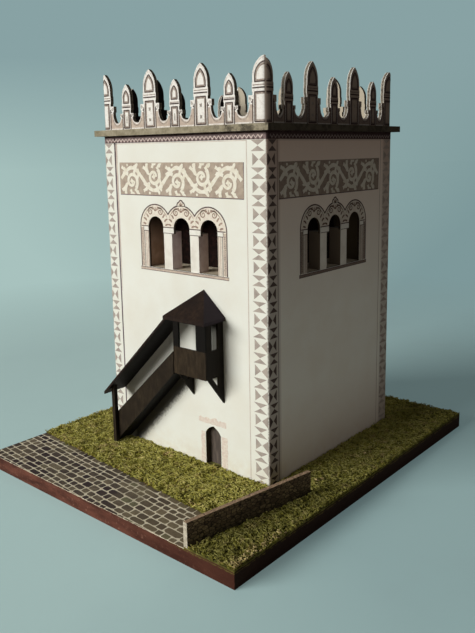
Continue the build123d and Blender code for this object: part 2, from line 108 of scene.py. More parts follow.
class Piece:
    """Closed solids drawn in one local frame and made into one mesh."""

    def __init__(self, frame_matrix, fold=0.0):
        self.frame = frame_matrix
        self.fold = fold
        self.points = []
        self.faces = []

    def lay(self, point):
        """A drawn point in the row frame, bent round the sheet's rounded corner folds."""
        x, y, out = point
        past = abs(x) - (HALF - self.fold)
        if self.fold and past > 0:
            turn = math.asin(min(past / self.fold, math.sqrt(0.5)))
            x = math.copysign(HALF - self.fold + (self.fold + out) * math.sin(turn), x)
            out = (self.fold + out) * math.cos(turn) - self.fold
        return self.frame @ Vector((x, y, out))

    def loft(self, rings):
        """Joins rings of as many points each and caps both ends."""
        first, count = len(self.points), len(rings[0])
        last = first + (len(rings) - 1) * count
        for ring in rings:
            self.points += [self.lay(point) for point in ring]
        for here in range(first, last, count):
            for corner in range(count):
                side = (corner + 1) % count
                self.faces.append((here + corner, here + side, here + count + side, here + count + corner))
        self.faces.append(tuple(reversed(range(first, first + count))))
        self.faces.append(tuple(range(last, last + count)))

    def plate(self, outline, high):
        """Flat card cut to an outline; round a fold it is laid in narrow slices."""
        for part in self.slices(outline):
            self.loft([[(x, y, level) for x, y in part] for level in (UNDER, high)])

    def slices(self, outline):
        """The outline in one part, or cut along a fold that it reaches."""
        flat = HALF - self.fold
        if max(abs(x) for x, y in outline) <= flat + 0.001:
            return [outline]
        steps = range(FOLD_SLICES + 1)
        stops = [flat + self.fold * math.sin(TURN / 8 * step / FOLD_SLICES) for step in steps]
        stops = [-stop for stop in stops[::-1]] + stops
        parts = [clip(outline, [(-1, 0, -low), (1, 0, high)]) for low, high in zip(stops, stops[1:])]
        return [part for part in parts if len(part) > 2 and abs(area(part)) > 0.002]

    def ribbon(self, path, width, high):
        """Stroke along a path; width is one number or one for each point."""
        widths = width if isinstance(width, list) else [width] * len(path)
        rings = []
        for number, (x, y) in enumerate(path):
            before, after = path[max(number - 1, 0)], path[min(number + 1, len(path) - 1)]
            dx, dy = after[0] - before[0], after[1] - before[1]
            length = math.hypot(dx, dy) or 1.0
            ax, ay = -dy / length * widths[number] / 2, dx / length * widths[number] / 2
            left, right = (x + ax, y + ay), (x - ax, y - ay)
            rings.append([(*left, UNDER), (*right, UNDER), (*right, high), (*left, high)])
        self.loft(rings)

    def stroke(self, path, width, high, closed=False):
        """Ribbon in short steps that ends at the middle of each corner fold."""
        limit = HALF - self.fold * (1 - math.sqrt(0.5))
        points = path + path[:1] if closed else path
        runs = [[]]
        for start, end in zip(points, points[1:]):
            count = math.ceil(math.dist(start, end) / FOLD_STEP)
            for step in range(count + 1):
                share = step / count
                place = tuple(near + (far - near) * share for near, far in zip(start, end))
                if abs(place[0]) > limit:
                    runs.append([])
                elif not runs[-1] or math.dist(place, runs[-1][-1]) > 0.01:
                    runs[-1].append(place)
        for run in runs:
            if len(run) > 1:
                self.ribbon(run, width, high)

    def make(self, name, finish, slot="printed_wall_card"):
        add_piece(name, self.points, self.faces, finish)


def area(outline):
    return sum(a[0] * b[1] - b[0] * a[1] for a, b in zip(outline, outline[1:] + outline[:1])) / 2


def in_scene(name, data):
    made = bpy.data.objects.new(name, data)
    bpy.context.scene.collection.objects.link(made)
    return made


def add_piece(name, points, faces, finish):
    """A mesh in the visual model, with its finish."""
    mesh = bpy.data.meshes.new(name)
    mesh.from_pydata([tuple(point) for point in points], [], faces)
    shape = bmesh.new()
    shape.from_mesh(mesh)
    bmesh.ops.recalc_face_normals(shape, faces=shape.faces)
    shape.to_mesh(mesh)
    shape.free()
    piece = in_scene(name, mesh)
    mesh.materials.append(finish)
    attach(piece, "root")


def clip(points, planes):
    """Cuts a plan outline by half planes (a, b, c) that keep a x + b y <= c."""
    for a, b, c in planes:
        kept = []
        for number, point in enumerate(points):
            before = points[number - 1]
            inside, was_inside = (a * x + b * y - c for x, y in (point, before))
            if inside * was_inside < 0:
                share = was_inside / (was_inside - inside)
                kept.append(tuple(start + (end - start) * share for start, end in zip(before, point)))
            if inside <= 0:
                kept.append(point)
        points = kept
    return points


def polar(centre, reach, angle):
    return centre[0] + reach * math.cos(angle), centre[1] + reach * math.sin(angle)


def arc(centre, radius, start, end, steps):
    """Points on an arc, angles in degrees."""
    angles = [math.radians(start + (end - start) * number / steps) for number in range(steps + 1)]
    return [polar(centre, radius, angle) for angle in angles]


def spiral(centre, radius, turns, start, hand, inner, steps=26):
    """Points curling in from radius to its inner share; hand is 1 or -1."""
    points = []
    for number in range(steps + 1):
        share = number / steps
        reach = radius * (1 - (1 - inner) * share ** 0.8)
        points.append(polar(centre, reach, math.radians(start) + hand * TURN * turns * share))
    return points


def leaf(root, length, width, heading, bend, scallops, steps):
    """Outline of a lobed leaf: its midrib starts at root, heading in degrees, and bends."""
    x, y = root
    angle = math.radians(heading)
    left, right = [], []
    for number in range(steps + 1):
        share = number / steps
        half = width / 2 * math.sin(math.pi * min(share * 0.92 + 0.08, 1)) ** 0.7
        half = max(half * (0.78 + 0.32 * abs(math.sin(math.pi * scallops * share))), 0.02)
        left.append((x - half * math.sin(angle), y + half * math.cos(angle)))
        right.append((x + half * math.sin(angle), y - half * math.cos(angle)))
        angle += math.radians(bend) / steps
        x, y = polar((x, y), length / steps, angle)
    return left + right[::-1]


def dot(centre, radius):
    """Eight-sided spot."""
    return arc(centre, radius, 0, 315, 7)


def rectangle(left, right, low, high):
    return [(left, low), (right, low), (right, high), (left, high)]


# ---------------------------------------------------------------- materials

def srgb(red, green, blue):
    """Linear colour of an sRGB triple written 0 to 255."""
    linear = []
    for value in (red, green, blue):
        share = value / 255
        linear.append(share / 12.92 if share <= 0.04045 else ((share + 0.055) / 1.055) ** 2.4)
    return (*linear, 1.0)


class Value:
    """A number that varies over a surface: a shader socket with arithmetic."""

    def __init__(self, nodes, socket):
        self.nodes, self.socket = nodes, socket

    def math(self, operation, *others):
        made = self.nodes.node("ShaderNodeMath", operation=operation)
        for socket, value in zip(made.inputs, (self, *others)):
            self.nodes.feed(socket, value)
        return Value(self.nodes, made.outputs[0])

    def __add__(self, other):
        return self.math("ADD", other)

    def __sub__(self, other):
        return self.math("SUBTRACT", other)

    def __mul__(self, other):
        return self.math("MULTIPLY", other)

    def __truediv__(self, other):
        return self.math("DIVIDE", other)

    def __abs__(self):
        return self.math("ABSOLUTE")

    def up(self, low, high, ends=(0.0, 1.0)):
        """0 to 1 as the value goes from low to high."""
        made = self.nodes.node("ShaderNodeMapRange", clamp=True)
        names = ("Value", "From Min", "From Max", "To Min", "To Max")
        for name, given in zip(names, (self, low, high, *ends)):
            self.nodes.feed(made.inputs[name], given)
        return Value(self.nodes, made.outputs["Result"])

    def down(self, low, high):
        """1 to 0 as the value goes from low to high."""
        return self.up(low, high, (1.0, 0.0))


class Nodes:
    """Builder over one shader tree. It takes numbers, sRGB triples, values and sockets alike."""

    def __init__(self, tree):
        self.tree = tree

    def node(self, kind, **values):
        made = self.tree.nodes.new(kind)
        for key, value in values.items():
            setattr(made, key, value)
        return made

    def feed(self, socket, value):
        if isinstance(value, tuple):
            socket.default_value = srgb(*value)
        elif isinstance(value, (int, float)):
            socket.default_value = value
        else:
            self.tree.links.new(value.socket if isinstance(value, Value) else value, socket)

    def vector(self, operation, first, second=None):
        """Vector maths on a socket, with a plain vector or another socket."""
        made = self.node("ShaderNodeVectorMath", operation=operation)
        self.feed(made.inputs[0], first)
        if isinstance(second, tuple):
            made.inputs[1].default_value = second
        elif second is not None:
            self.feed(made.inputs[1], second)
        if operation in ("LENGTH", "DOT_PRODUCT"):
            return Value(self, made.outputs["Value"])
        return made.outputs["Vector"]

    def part(self, vector, name):
        """One coordinate of a vector."""
        made = self.node("ShaderNodeSeparateXYZ")
        self.feed(made.inputs[0], vector)
        return Value(self, made.outputs[name])

    def mix(self, share, below, above, data_type="RGBA"):
        """Blend of two colours, or of two numbers."""
        made = self.node("ShaderNodeMix", data_type=data_type)
        for name, value in (("Factor", share), ("A", below), ("B", above)):
            self.feed(made.inputs[name], value)
        return made.outputs["Result"]

    def joined(self, share, below, above, target):
        """Blend of two shaders, led to an output."""
        made = self.node("ShaderNodeMixShader")
        for socket, value in zip(made.inputs, (share, below.outputs[0], above.outputs[0])):
            self.feed(socket, value)
        self.feed(self.tree.nodes[target].inputs["Surface"], made.outputs[0])

    def camera_ray(self):
        return Value(self, self.node("ShaderNodeLightPath").outputs["Is Camera Ray"])


class Finish(Nodes):
    """One procedural material on a Principled shader; its tone is laid on coat by coat."""

    def __init__(self, name, rough, sheen=0.0):
        self.material = bpy.data.materials.new(name)
        self.material.use_nodes = True
        super().__init__(self.material.node_tree)
        self.shader = self.tree.nodes["Principled BSDF"]
        for socket, value in (("Roughness", rough), ("Specular IOR Level", 0.12), ("Sheen Weight", sheen)):
            self.shader.inputs[socket].default_value = value
        self.place = self.node("ShaderNodeTexCoord").outputs["Object"]
        self.tone = None

    def coat(self, colour, mask, under=None):
        """Lays a colour over the tone, or over an undercoat, where a mask says."""
        self.tone = self.mix(mask, under or self.tone, colour)

    def texture(self, kind, output, size, stretch, settings, **values):
        """Output of a texture whose features are about size millimetres, squeezed along each axis."""
        made = self.node(kind, **values)
        made.inputs["Scale"].default_value = 1 / (size * MM)
        for name, value in settings.items():
            made.inputs[name].default_value = value
        place = self.vector("MULTIPLY", self.place, stretch) if stretch else self.place
        self.feed(made.inputs["Vector"], place)
        return Value(self, made.outputs[output])

    def noise(self, size, detail=3.0, rough=0.55, stretch=None):
        settings = {"Detail": detail, "Roughness": rough}
        return self.texture("ShaderNodeTexNoise", "Fac", size, stretch, settings)

    def cells(self, size, output="Distance", feature="F1", stretch=None, random_share=1.0):
        settings = {"Randomness": random_share}
        return self.texture("ShaderNodeTexVoronoi", output, size, stretch, settings, feature=feature)

    def each(self):
        """A random share for each separate solid of a mesh."""
        return Value(self, self.node("ShaderNodeNewGeometry").outputs["Random Per Island"])

    def axis(self, name, origin=0.0):
        """One coordinate of the place, in millimetres from an origin in metres."""
        return (self.part(self.place, name) - origin) / MM

    def reach(self):
        """Distance of the place from the tower's axis across and along the plan, in millimetres."""
        return abs(self.axis("X", TOWER.x)), abs(self.axis("Y", TOWER.y))

    def nearer(self):
        """The smaller of the two distances."""
        across, along = self.reach()
        return across.math("MINIMUM", along)

    def farther(self):
        """The larger of the two distances."""
        across, along = self.reach()
        return across.math("MAXIMUM", along)

    def normal(self):
        return self.node("ShaderNodeNewGeometry").outputs["True Normal"]

    def facing(self, name):
        """How far the face looks along an axis, from -1 to 1."""
        return self.part(self.normal(), name)

    def turned(self, name):
        """1 on faces that look either way along an axis, 0 elsewhere."""
        return abs(self.facing(name)).up(0.4, 0.6)

    def along_wall(self):
        """1 on faces that look sideways along the tower's nearest wall, 0 elsewhere."""
        across, along = self.reach()
        return self.mix(across.math("GREATER_THAN", along), self.turned("X"), self.turned("Y"), "FLOAT")

    def inward(self):
        """1 on faces that look at the tower's axis from its walls, 30 to 38 mm off, 0 elsewhere."""
        away = self.vector("SUBTRACT", self.place, (TOWER.x, TOWER.y, 0))
        flat = self.vector("MULTIPLY", away, (1, 1, 0))
        return self.vector("DOT_PRODUCT", flat, self.normal()).up(-0.03, -0.038)

    def on_front(self):
        """1 at the outer face of the front wall, 0 behind it."""
        return self.axis("Y", WALL_LOW.y).down(0.5, 0.6)

    def done(self, height, depth):
        """Ends the material, with a bump of that depth in millimetres."""
        bump = self.node("ShaderNodeBump")
        for name, value in (("Strength", 1.0), ("Distance", depth * MM), ("Height", height)):
            self.feed(bump.inputs[name], value)
        self.feed(self.shader.inputs["Normal"], bump.outputs["Normal"])
        self.feed(self.shader.inputs["Base Color"], self.tone)
        return self.material


def paper(name, colour, shade, patch=9.0, side_shade=0.45, far_side_shade=None):
    """Matt printed card: faint patches and fibres, with painted shade on the faces that look along X,
    stronger towards the front end.
    """
    made = Finish(name, 0.85)
    fibres = made.noise(0.35, 4.0, 0.7)
    made.coat(shade, made.noise(patch, 3.0).up(0.42, 0.72), under=colour)
    made.coat(shade, fibres.up(0.5, 1.1))
    if far_side_shade is not None:
        side_shade = made.axis("Y", TOWER.y).down(-HALF, HALF) * (side_shade - far_side_shade) + far_side_shade
    # Painted shade: the print darkens on the tower's sides that face along X.
    made.coat((44, 22, 24), made.turned("X") * side_shade)
    return made.done(fibres, 0.02)


def stair_painted_shadow(made):
    """Painted shadow on the front wall along the underside of the stair, with a ragged lower edge."""
    across, up = made.axis("X", STAIR_LOW.x), made.axis("Z", STAIR_LOW.z)
    under = across * math.sin(STAIR_PITCH) - up * math.cos(STAIR_PITCH)
    ragged = under + made.noise(1.0, 4.0, 0.7) * 3.0
    length = size_mm("stair_outer_panel").x
    ends = across.up(-2, 2) * across.down(length, length + 5)
    return under.up(-0.8, -0.3) * ragged.down(4.8, 7.2) * ends * made.on_front()


def bay_painted_shadow(made):
    """Painted shadow on the front wall, behind the light in the balcony's right panel."""
    across, up = made.axis("X", BAY_LOW.x), made.axis("Z", BAY_LOW.z)
    top = size_mm("balcony_right_panel").z
    shade = across.up(-6.2, -4.4) * across.down(0.2, 0.4)
    return shade * (up.up(0, 2) * up.down(top - 1, top)) * made.on_front()


def wall_finish():
    """Off-white wall print, soiled at the foot, scuffed along the corner folds, with painted shade on the
    walls that face along X and painted shadows under the stair and behind the balcony's right panel.
    """
    made = Finish("wall_print", 0.86)
    warm, fibres = (236, 235, 222), made.noise(0.4, 4.0, 0.7)
    height, turned, edge = made.axis("Z", GROUND), made.turned("X"), made.nearer()
    made.coat(warm, made.noise(16.0, 4.0, 0.6).up(0.40, 0.75), under=(241, 243, 233))
    made.coat(warm, fibres.up(0.5, 1.2))
    made.coat((222, 208, 184), height.down(0, 9) * made.noise(3.0, 4.0).up(0.35, 0.75) * 0.55)
    worn = made.noise(0.9, 3.0).up(0.46, 0.60)
    made.coat((112, 103, 98), edge.up(HALF - 0.8, HALF - 0.4) * worn * 0.7)
    made.coat((130, 110, 90), made.cells(7.0).down(0.0, 0.022) * 0.35)
    # Painted shade on the walls that face along X: pinkish-brown towards the top, more weakly towards the
    # foot, and darker beside the corner strips.
    ends = height.up(55, WALL_HEIGHT).math("MAXIMUM", height.down(0, 30) * 0.6)
    made.coat((208, 184, 168), ends * 0.9 * turned)
    made.coat((100, 68, 54), edge.up(HALF - 7.0, HALF - 5.4) * 0.40 * turned)
    # Painted shadow under the stair.
    made.coat((34, 27, 24), stair_painted_shadow(made) * 0.9)
    # Painted shadow inside the balcony.
    made.coat((62, 60, 53), bay_painted_shadow(made) * 0.92)
    card = made.mix(made.noise(0.8).up(0.4, 0.7), (84, 70, 58), (58, 48, 42))
    made.coat(card, made.farther().down(HALF - 0.3, HALF - 0.15))
    return made.done(fibres, 0.02)


def parapet_finish():
    """Printed card strip: cream outside, with painted shade on the strips that face along X, dark or plain
    inside, grey board core at its edges.
    """
    made = Finish("parapet_card", 0.85)
    sideways, depth = made.turned("X"), made.farther()
    made.coat((214, 205, 194), made.noise(1.1, 4.0, 0.7).up(0.50, 0.86), under=(247, 245, 238))
    made.coat((126, 110, 102), made.noise(0.5, 4.0, 0.8).up(0.56, 0.70) * 0.42)
    made.coat((150, 130, 118), made.axis("Z", SLAB_HIGH.z).down(0, 3) * 0.28)
    # Painted shade on the outside of the strips that face along X.
    made.coat((124, 106, 90), sideways * 0.9)
    made.coat(made.mix(sideways, (194, 184, 164), (30, 26, 27)), made.inward())
    core = made.mix(made.noise(0.7, 4.0, 0.7).up(0.38, 0.62), (158, 150, 134), (84, 76, 68))
    cut = depth.up(HALF - 1.3, HALF - 1.2) * depth.down(HALF - 0.28, HALF - 0.16)
    made.coat(core, cut * made.nearer().up(HALF - 2.0, HALF - 2.2))
    return made.done(made.noise(0.3, 3.0), 0.02)


def niche_finish():
    """Dark box behind a window: olive cheeks with painted shade, darker towards the head and in the niches
    of the walls that face along X; near-black back, beige sill sheet.
    """
    made = Finish("niche_card", 0.9)
    made.coat((166, 138, 114), made.noise(4.0, 4.0).up(0.35, 0.75), under=(204, 172, 146))
    # Painted shade: cheeks darker towards the head of the arch, and darker in the niches of the walls that
    # face along X.
    made.coat((66, 58, 46), made.axis("Z", GROUND).up(79, 90))
    made.coat((108, 96, 76), made.turned("Y"))
    cheek = made.tone
    made.coat((48, 27, 22), made.noise(1.2, 4.0, 0.7).up(0.45, 0.75), under=(18, 10, 8))
    made.coat(cheek, made.along_wall())
    sheet = made.mix(made.noise(0.8, 4.0).up(0.4, 0.8), (220, 208, 184), (180, 168, 144))
    made.coat(sheet, made.facing("Z").up(0.5, 0.9))
    return made.done(made.noise(0.4), 0.02)


def pier_finish():
    """White folded card with painted shade: mauve-grey where it turns into the window, olive there on the
    walls that face along X, and a slightly darker front on those walls.
    """
    made = Finish("pier_card", 0.85)
    # Painted shade on the sides that turn into the window and on the piers of the walls that face along X.
    side = made.mix(made.noise(3.0, 3.0).up(0.4, 0.7), (242, 228, 224), (222, 204, 200))
    side = made.mix(made.turned("Y"), side, (134, 120, 104))
    made.coat((226, 221, 208), made.noise(5.0, 3.0).up(0.42, 0.72), under=(243, 241, 230))
    made.coat((44, 22, 22), made.turned("X") * 0.2)
    made.coat(side, made.along_wall())
    return made.done(made.noise(0.35, 4.0, 0.7), 0.02)


def slab_finish():
    """Olive-grey cornice card, mottled and scuffed, with painted shade near black underneath and on the
    ends that face along X.
    """
    made = Finish("cornice_card", 0.85)
    made.coat((126, 119, 96), made.noise(2.2, 5.0, 0.7).up(0.35, 0.7), under=(172, 163, 140))
    made.coat((176, 168, 144), made.noise(0.6, 3.0).up(0.58, 0.8))
    made.coat((64, 58, 50), made.noise(4.0, 5.0, 0.7).up(0.48, 0.60) * made.axis("X").up(12, 26) * 0.8)
    # Painted shade on the ends that face along X and underneath.
    made.coat((52, 46, 38), made.turned("X") * 0.85)
    made.coat((48, 44, 38), made.facing("Z").down(-0.9, -0.5))
    return made.done(made.noise(0.5, 4.0), 0.05)


def timber_finish(name, dark, brown, shaded, rail=None):
    """Card painted as dark timber: streaks and specks of thin paint, with painted shade on faces towards +X
    and near black underneath, and a painted shadow over a rail.
    """
    made = Finish(name, 0.6)
    made.coat(brown, made.noise(1.1, 4.0, 0.6, stretch=(1, 1, 0.25)).up(0.38, 0.76), under=dark)
    made.coat(dark, made.noise(6.0, 3.0).up(0.42, 0.66))
    # Painted shade on faces towards +X and underneath.
    made.coat(shaded, made.facing("X").up(0.3, 0.55) * 0.8)
    made.coat((14, 10, 9), made.facing("Z").down(-0.7, -0.3))
    # Painted shadow of the roof on the posts above the rail.
    if rail:
        made.coat((9, 9, 8), made.axis("Z", GROUND).up(rail, rail + 0.3) * 0.92)
    made.coat((122, 106, 90), made.cells(2.6).down(0.015, 0.055) * made.noise(4.0).up(0.5, 0.62) * 0.6)
    return made.done(made.noise(0.5, 4.0, 0.7, stretch=(1, 1, 0.4)), 0.04)


def door_finish():
    """Grey-brown planked leaf."""
    made = Finish("door_print", 0.75)
    planks = made.noise(1.4, 4.0, 0.6, stretch=(1, 1, 0.2))
    made.coat((118, 106, 96), planks.up(0.4, 0.75), under=(84, 76, 70))
    return made.done(made.noise(0.6, 3.0, stretch=(1, 1, 0.2)), 0.04)


def board_tone(made):
    """Red-brown stain, deeper towards one end, with painted shade dark on the board's ends that face along
    X.
    """
    grain = made.noise(6.0, 4.0, 0.65, stretch=(0.5, 0.5, 2))
    tone = made.mix(grain.up(0.38, 0.66), (112, 70, 57), (68, 40, 33))
    tone = made.mix(made.noise(1.1, 4.0, 0.7).up(0.58, 0.74), tone, (152, 112, 94))
    tone = made.mix(made.axis("X").up(0, 70), tone, (66, 36, 26))
    # Painted shade on the ends that face along X.
    return made.mix(made.turned("X") * 0.85, tone, (36, 27, 22))


def board_finish():
    """Stained board, its rim ragged with glue and flock where the turf comes to the edge."""
    made = Finish("board_stain", 0.55)
    lap = made.axis("Z", BOARD_HIGH.z) + made.noise(1.3, 4.0, 0.7) * 2.4
    turfed = made.axis("X").up(36, 37).math("MAXIMUM", made.axis("Y").up(-36, -35))
    flock = made.mix(made.noise(0.7, 4.0, 0.7).up(0.4, 0.65), (104, 96, 46), (80, 66, 38))
    made.coat(flock, lap.up(0.9, 1.1) * turfed, under=board_tone(made))
    return made.done(made.noise(0.6, 4.0, 0.7), 0.08)


def paint_edge(made, top):
    """Ragged brown paint that laps up a sheet's cut edge from the board below."""
    thick = (top - BOARD_HIGH.z) / MM
    lap = made.axis("Z", BOARD_HIGH.z) + made.noise(1.6, 4.0, 0.7) * (-1.6 * thick)
    painted = lap.down(-0.35 * thick, -0.25 * thick)
    made.coat(board_tone(made), painted * made.facing("Z").down(0.4, 0.6))


def grout_finish():
    """Pale joints of the printed street."""
    made = Finish("street_grout", 0.9)
    made.coat((212, 202, 172), made.noise(1.8, 4.0, 0.65).up(0.35, 0.75), under=(243, 235, 211))
    made.coat((152, 143, 116), made.noise(16.0, 2.0).up(0.55, 0.8))
    paint_edge(made, GROUND_TOP)
    return made.done(made.noise(0.5, 3.0), 0.05)


def cobble_finish():
    """Printed stones, each its own grey-brown, worn paler in patches of the street."""
    made = Finish("street_stone", 0.85)
    each = made.each()
    made.coat((142, 130, 108), each.up(0.25, 1.0), under=(74, 64, 64))
    made.coat((118, 120, 92), (each * each).up(0.84, 0.93))
    made.coat((54, 45, 48), made.noise(0.9, 4.0, 0.65).up(0.46, 0.78))
    made.coat((138, 128, 102), made.noise(15.0, 2.0).up(0.50, 0.78))
    made.coat((134, 120, 92), made.axis("X").up(0, 30) * 0.5)
    return made.done(made.noise(0.5, 4.0), 0.05)


def rubble_finish():
    """Dark coursed field stones; the cut top and ends of the card are paler."""
    made = Finish("rubble_print", 0.85)
    stretch = (0.62, 0.62, 1.35)
    stones = made.cells(1.25, "Color", stretch=stretch, random_share=0.8)
    joints = made.cells(1.25, feature="DISTANCE_TO_EDGE", stretch=stretch, random_share=0.8)
    hue = made.node("ShaderNodeSeparateColor")
    made.feed(hue.inputs[0], stones)
    made.coat((162, 144, 108), Value(made, hue.outputs[0]).up(0.1, 0.95), under=(92, 78, 60))
    made.coat((98, 84, 66), made.noise(0.6, 4.0, 0.7).up(0.36, 0.66))
    made.coat((48, 40, 34), joints.down(0.02, 0.12))
    made.coat((46, 42, 22), made.axis("Z", GROUND).down(1, 6) * 0.55)
    top = made.mix(made.noise(0.8, 4.0, 0.7).up(0.42, 0.78), (184, 156, 128), (108, 88, 72))
    made.coat(top, made.facing("Z").up(0.5, 0.8))
    core = made.mix(made.noise(0.9, 3.0).up(0.4, 0.8), (214, 206, 186), (158, 148, 128))
    made.coat(core, abs(made.facing("Y")).up(0.7, 0.85))
    return made.done(joints.up(0.0, 0.12) + made.noise(0.5, 3.0), 0.10)


def turf_finish(name, dark, light, dry, skirt=False):
    """Scenic flock: two greens in clumps with straw-coloured patches."""
    made = Finish(name, 0.95, sheen=0.05)
    each = made.each()
    made.coat(light, made.noise(3.4, 4.0, 0.65).up(0.38, 0.62), under=dark)
    made.coat(light, each.up(0.6, 1.2))
    made.coat(dark, each.up(0.4, -0.2))
    made.coat(dry, made.noise(4.0, 4.0, 0.7).up(0.55, 0.72))
    made.coat(dark, made.noise(11.0, 2.0).up(0.54, 0.84))
    made.coat((208, 208, 120), made.noise(2.2, 3.0, 0.7).up(0.52, 0.66) * 0.42)
    made.coat((56, 54, 18), made.noise(2.9, 3.0, 0.7).up(0.56, 0.68) * 0.5)
    # Painted shade: the turf darkens towards the +X side of the board.
    made.coat((48, 50, 17), made.axis("X").up(36, 52) * 0.42)
    if skirt:
        paint_edge(made, GROUND)
    return made.done(made.noise(0.3, 3.0, 0.7), 0.08)


PRINTS = {                  # tone, second tone, size of its patches, painted shade on the sides that face along X, that shade at the far end
    "quoin_ink": ((186, 175, 164), (160, 150, 142), 3.0, 0.85, 0.2),
    "line_ink": ((84, 68, 68), (116, 98, 94), 3.0, 0.62),
    "pale_ink": ((204, 188, 178), (226, 216, 202), 4.0),
    "seam_ink": ((84, 68, 78), (122, 106, 110)),
    "frieze_ground": ((188, 173, 156), (166, 150, 136), 2.0, 0.5),
    "frieze_motif": ((244, 241, 226), (230, 223, 202), 1.5, 0.36),
    "field_cream": ((240, 235, 219), (228, 214, 200), 1.3, 0.34),
    "scroll_ink": ((152, 128, 112), (196, 176, 160), 1.5, 0.68),
    "white_block": ((244, 243, 234), (232, 230, 218), 3.0, 0.25),
    "zigzag_ground": ((142, 124, 122), (112, 97, 97), 2.0, 0.8),
    "zigzag_light": ((226, 210, 200), (196, 180, 170), 1.5, 0.66),
    "apron_ink": ((192, 174, 160), (214, 200, 182), 1.5, 0.7),
    "smudge_ink": ((150, 142, 134), (196, 188, 172), 0.8),
    "merlon_ink": ((70, 58, 54), (106, 92, 86), 1.0, 0.7),
    "merlon_shade": ((150, 136, 126), (200, 188, 174), 0.8, 0.7),
    "merlon_rim": ((242, 238, 230), (196, 184, 174), 0.6, 0.55),
    "door_blush": ((226, 210, 196), (240, 236, 222), 0.9),
}
INKS = {name: paper(name, *values) for name, values in PRINTS.items()}


# ---------------------------------------------------------------- printed walls

INK = 0.03                  # how far one layer of print stands proud
ON_INK = 0.05               # marks printed over it
QUOIN_PERIOD = 8.78
QUOIN_TOP = 117.0
RULE_FOOT = 0.6
FLAT_CELL = 3.6             # hourglass cell
TALL_CELL = 4.6             # bow-tie cell
LEFT_STRIP = 5.3            # width of the corner strips on each wall
RIGHT_STRIP = 8.4
FRIEZE_LEFT = {"front": -31.4, "right": -34.1, "back": -34.1, "left": -34.1}
FRIEZE_RIGHT = 30.3
FRIEZE_LOW = 97.9
FRIEZE_HIGH = 109.9
FRIEZE_LOBES = 5
CURL_FRONDS = (             # place round the curl, length and bend
    (205, 3.6, 70), (255, 3.2, 60), (300, 3.2, -50), (20, 3.0, 75), (65, 3.0, -60), (130, 2.6, 50))
ZIGZAG_LOW = 117.1
ZIGZAG_PITCH = 1.87
LOBE_RADIUS = 8.2
LOBE_LIFT = 0.2             # lobe centres above the arches' feet
WINDOW_HALF = ARCH_PITCH + LOBE_RADIUS
WALL_INKS = {
    "quoins": INKS["quoin_ink"],
    "rules": INKS["pale_ink"],
    "seam": INKS["seam_ink"],
    "eaves_band": INKS["zigzag_ground"],
    "zigzag": INKS["zigzag_light"],
    "dentils_and_cornice_shadow": INKS["line_ink"],
    "frieze_ground": INKS["frieze_ground"],
    "frieze_rule": INKS["seam_ink"],
    "frieze_scroll": INKS["frieze_motif"],
}
WINDOW_INKS = {
    "window_field": INKS["field_cream"],
    "window_lines": INKS["line_ink"],
    "window_mouldings": INKS["apron_ink"],
    "imposts": INKS["white_block"],
    "window_scrolls": INKS["scroll_ink"],
}


def quoin_cells(piece, left, right, flat_shift, tall_shift):
    """Column of diamond-point blocks: triangles in pairs, up and down, then side to side."""
    top = QUOIN_TOP
    while top > 1.0:
        low = max(top - FLAT_CELL, 0.0)
        a, b = left + flat_shift[0], right - flat_shift[1]
        centre, waist = (a + b) / 2, (top + low) / 2
        piece.plate([(a, top), (centre, waist + 0.1), (b, top)], INK)
        piece.plate([(a, low), (b, low), (centre, waist - 0.1)], INK)
        gap = (QUOIN_PERIOD - FLAT_CELL - TALL_CELL) / 2
        high, foot = low - gap, low - gap - TALL_CELL
        if foot > 0.5:
            a, b = left + tall_shift[0], right - tall_shift[1]
            centre, waist = (a + b) / 2, (high + foot) / 2
            piece.plate([(a, high - 0.3), (a, foot + 0.3), (centre - 0.15, waist)], INK)
            piece.plate([(b, high - 0.3), (centre + 0.15, waist), (b, foot + 0.3)], INK)
        top -= QUOIN_PERIOD


def border_lines(pale, seam, front):
    """Thin rules beside the corner strips and under the eaves band."""
    inner, outer = HALF - RIGHT_STRIP, -HALF + LEFT_STRIP
    pale.ribbon([(inner, RULE_FOOT), (inner, QUOIN_TOP)], 0.3, INK)
    pale.ribbon([(outer, 116.8), (inner, 116.8)], 0.2, INK)
    if front:
        pale.ribbon([(outer + 1.75, 60.0), (outer + 1.75, QUOIN_TOP)], [0.2, 1.1], INK)
        widths = [0.56 + 0.2 * step / 12 for step in range(13)]
        seam.ribbon([(outer + 1.0, RULE_FOOT + 9.87 * step) for step in range(13)], widths, INK)
    else:
        seam.ribbon([(outer, RULE_FOOT), (outer, QUOIN_TOP)], 0.2, INK)


def eaves_band(ground, light, dark):
    """Zigzag band under the cornice, with a painted shadow of the cornice as a dark line along its top."""
    top = WALL_HEIGHT - 0.05
    ground.plate(rectangle(-HALF, HALF, ZIGZAG_LOW, top), INK)
    count = int(2 * HALF / ZIGZAG_PITCH)
    start = -count * ZIGZAG_PITCH / 2
    crest = []
    for step in range(1, count * 2):
        crest.append((start + step * ZIGZAG_PITCH / 2, ZIGZAG_LOW + (1.5 if step % 2 else 0.5)))
    light.ribbon(crest, 0.42, ON_INK)
    for step in range(count):
        x = start + (step + 0.5) * ZIGZAG_PITCH
        dark.plate([(x - 0.55, ZIGZAG_LOW), (x + 0.55, ZIGZAG_LOW), (x, ZIGZAG_LOW + 0.95)], ON_INK)
    # Painted shadow of the cornice's overhang.
    dark.stroke([(-HALF, top - 0.3), (HALF, top - 0.3)], 0.6, ON_INK)


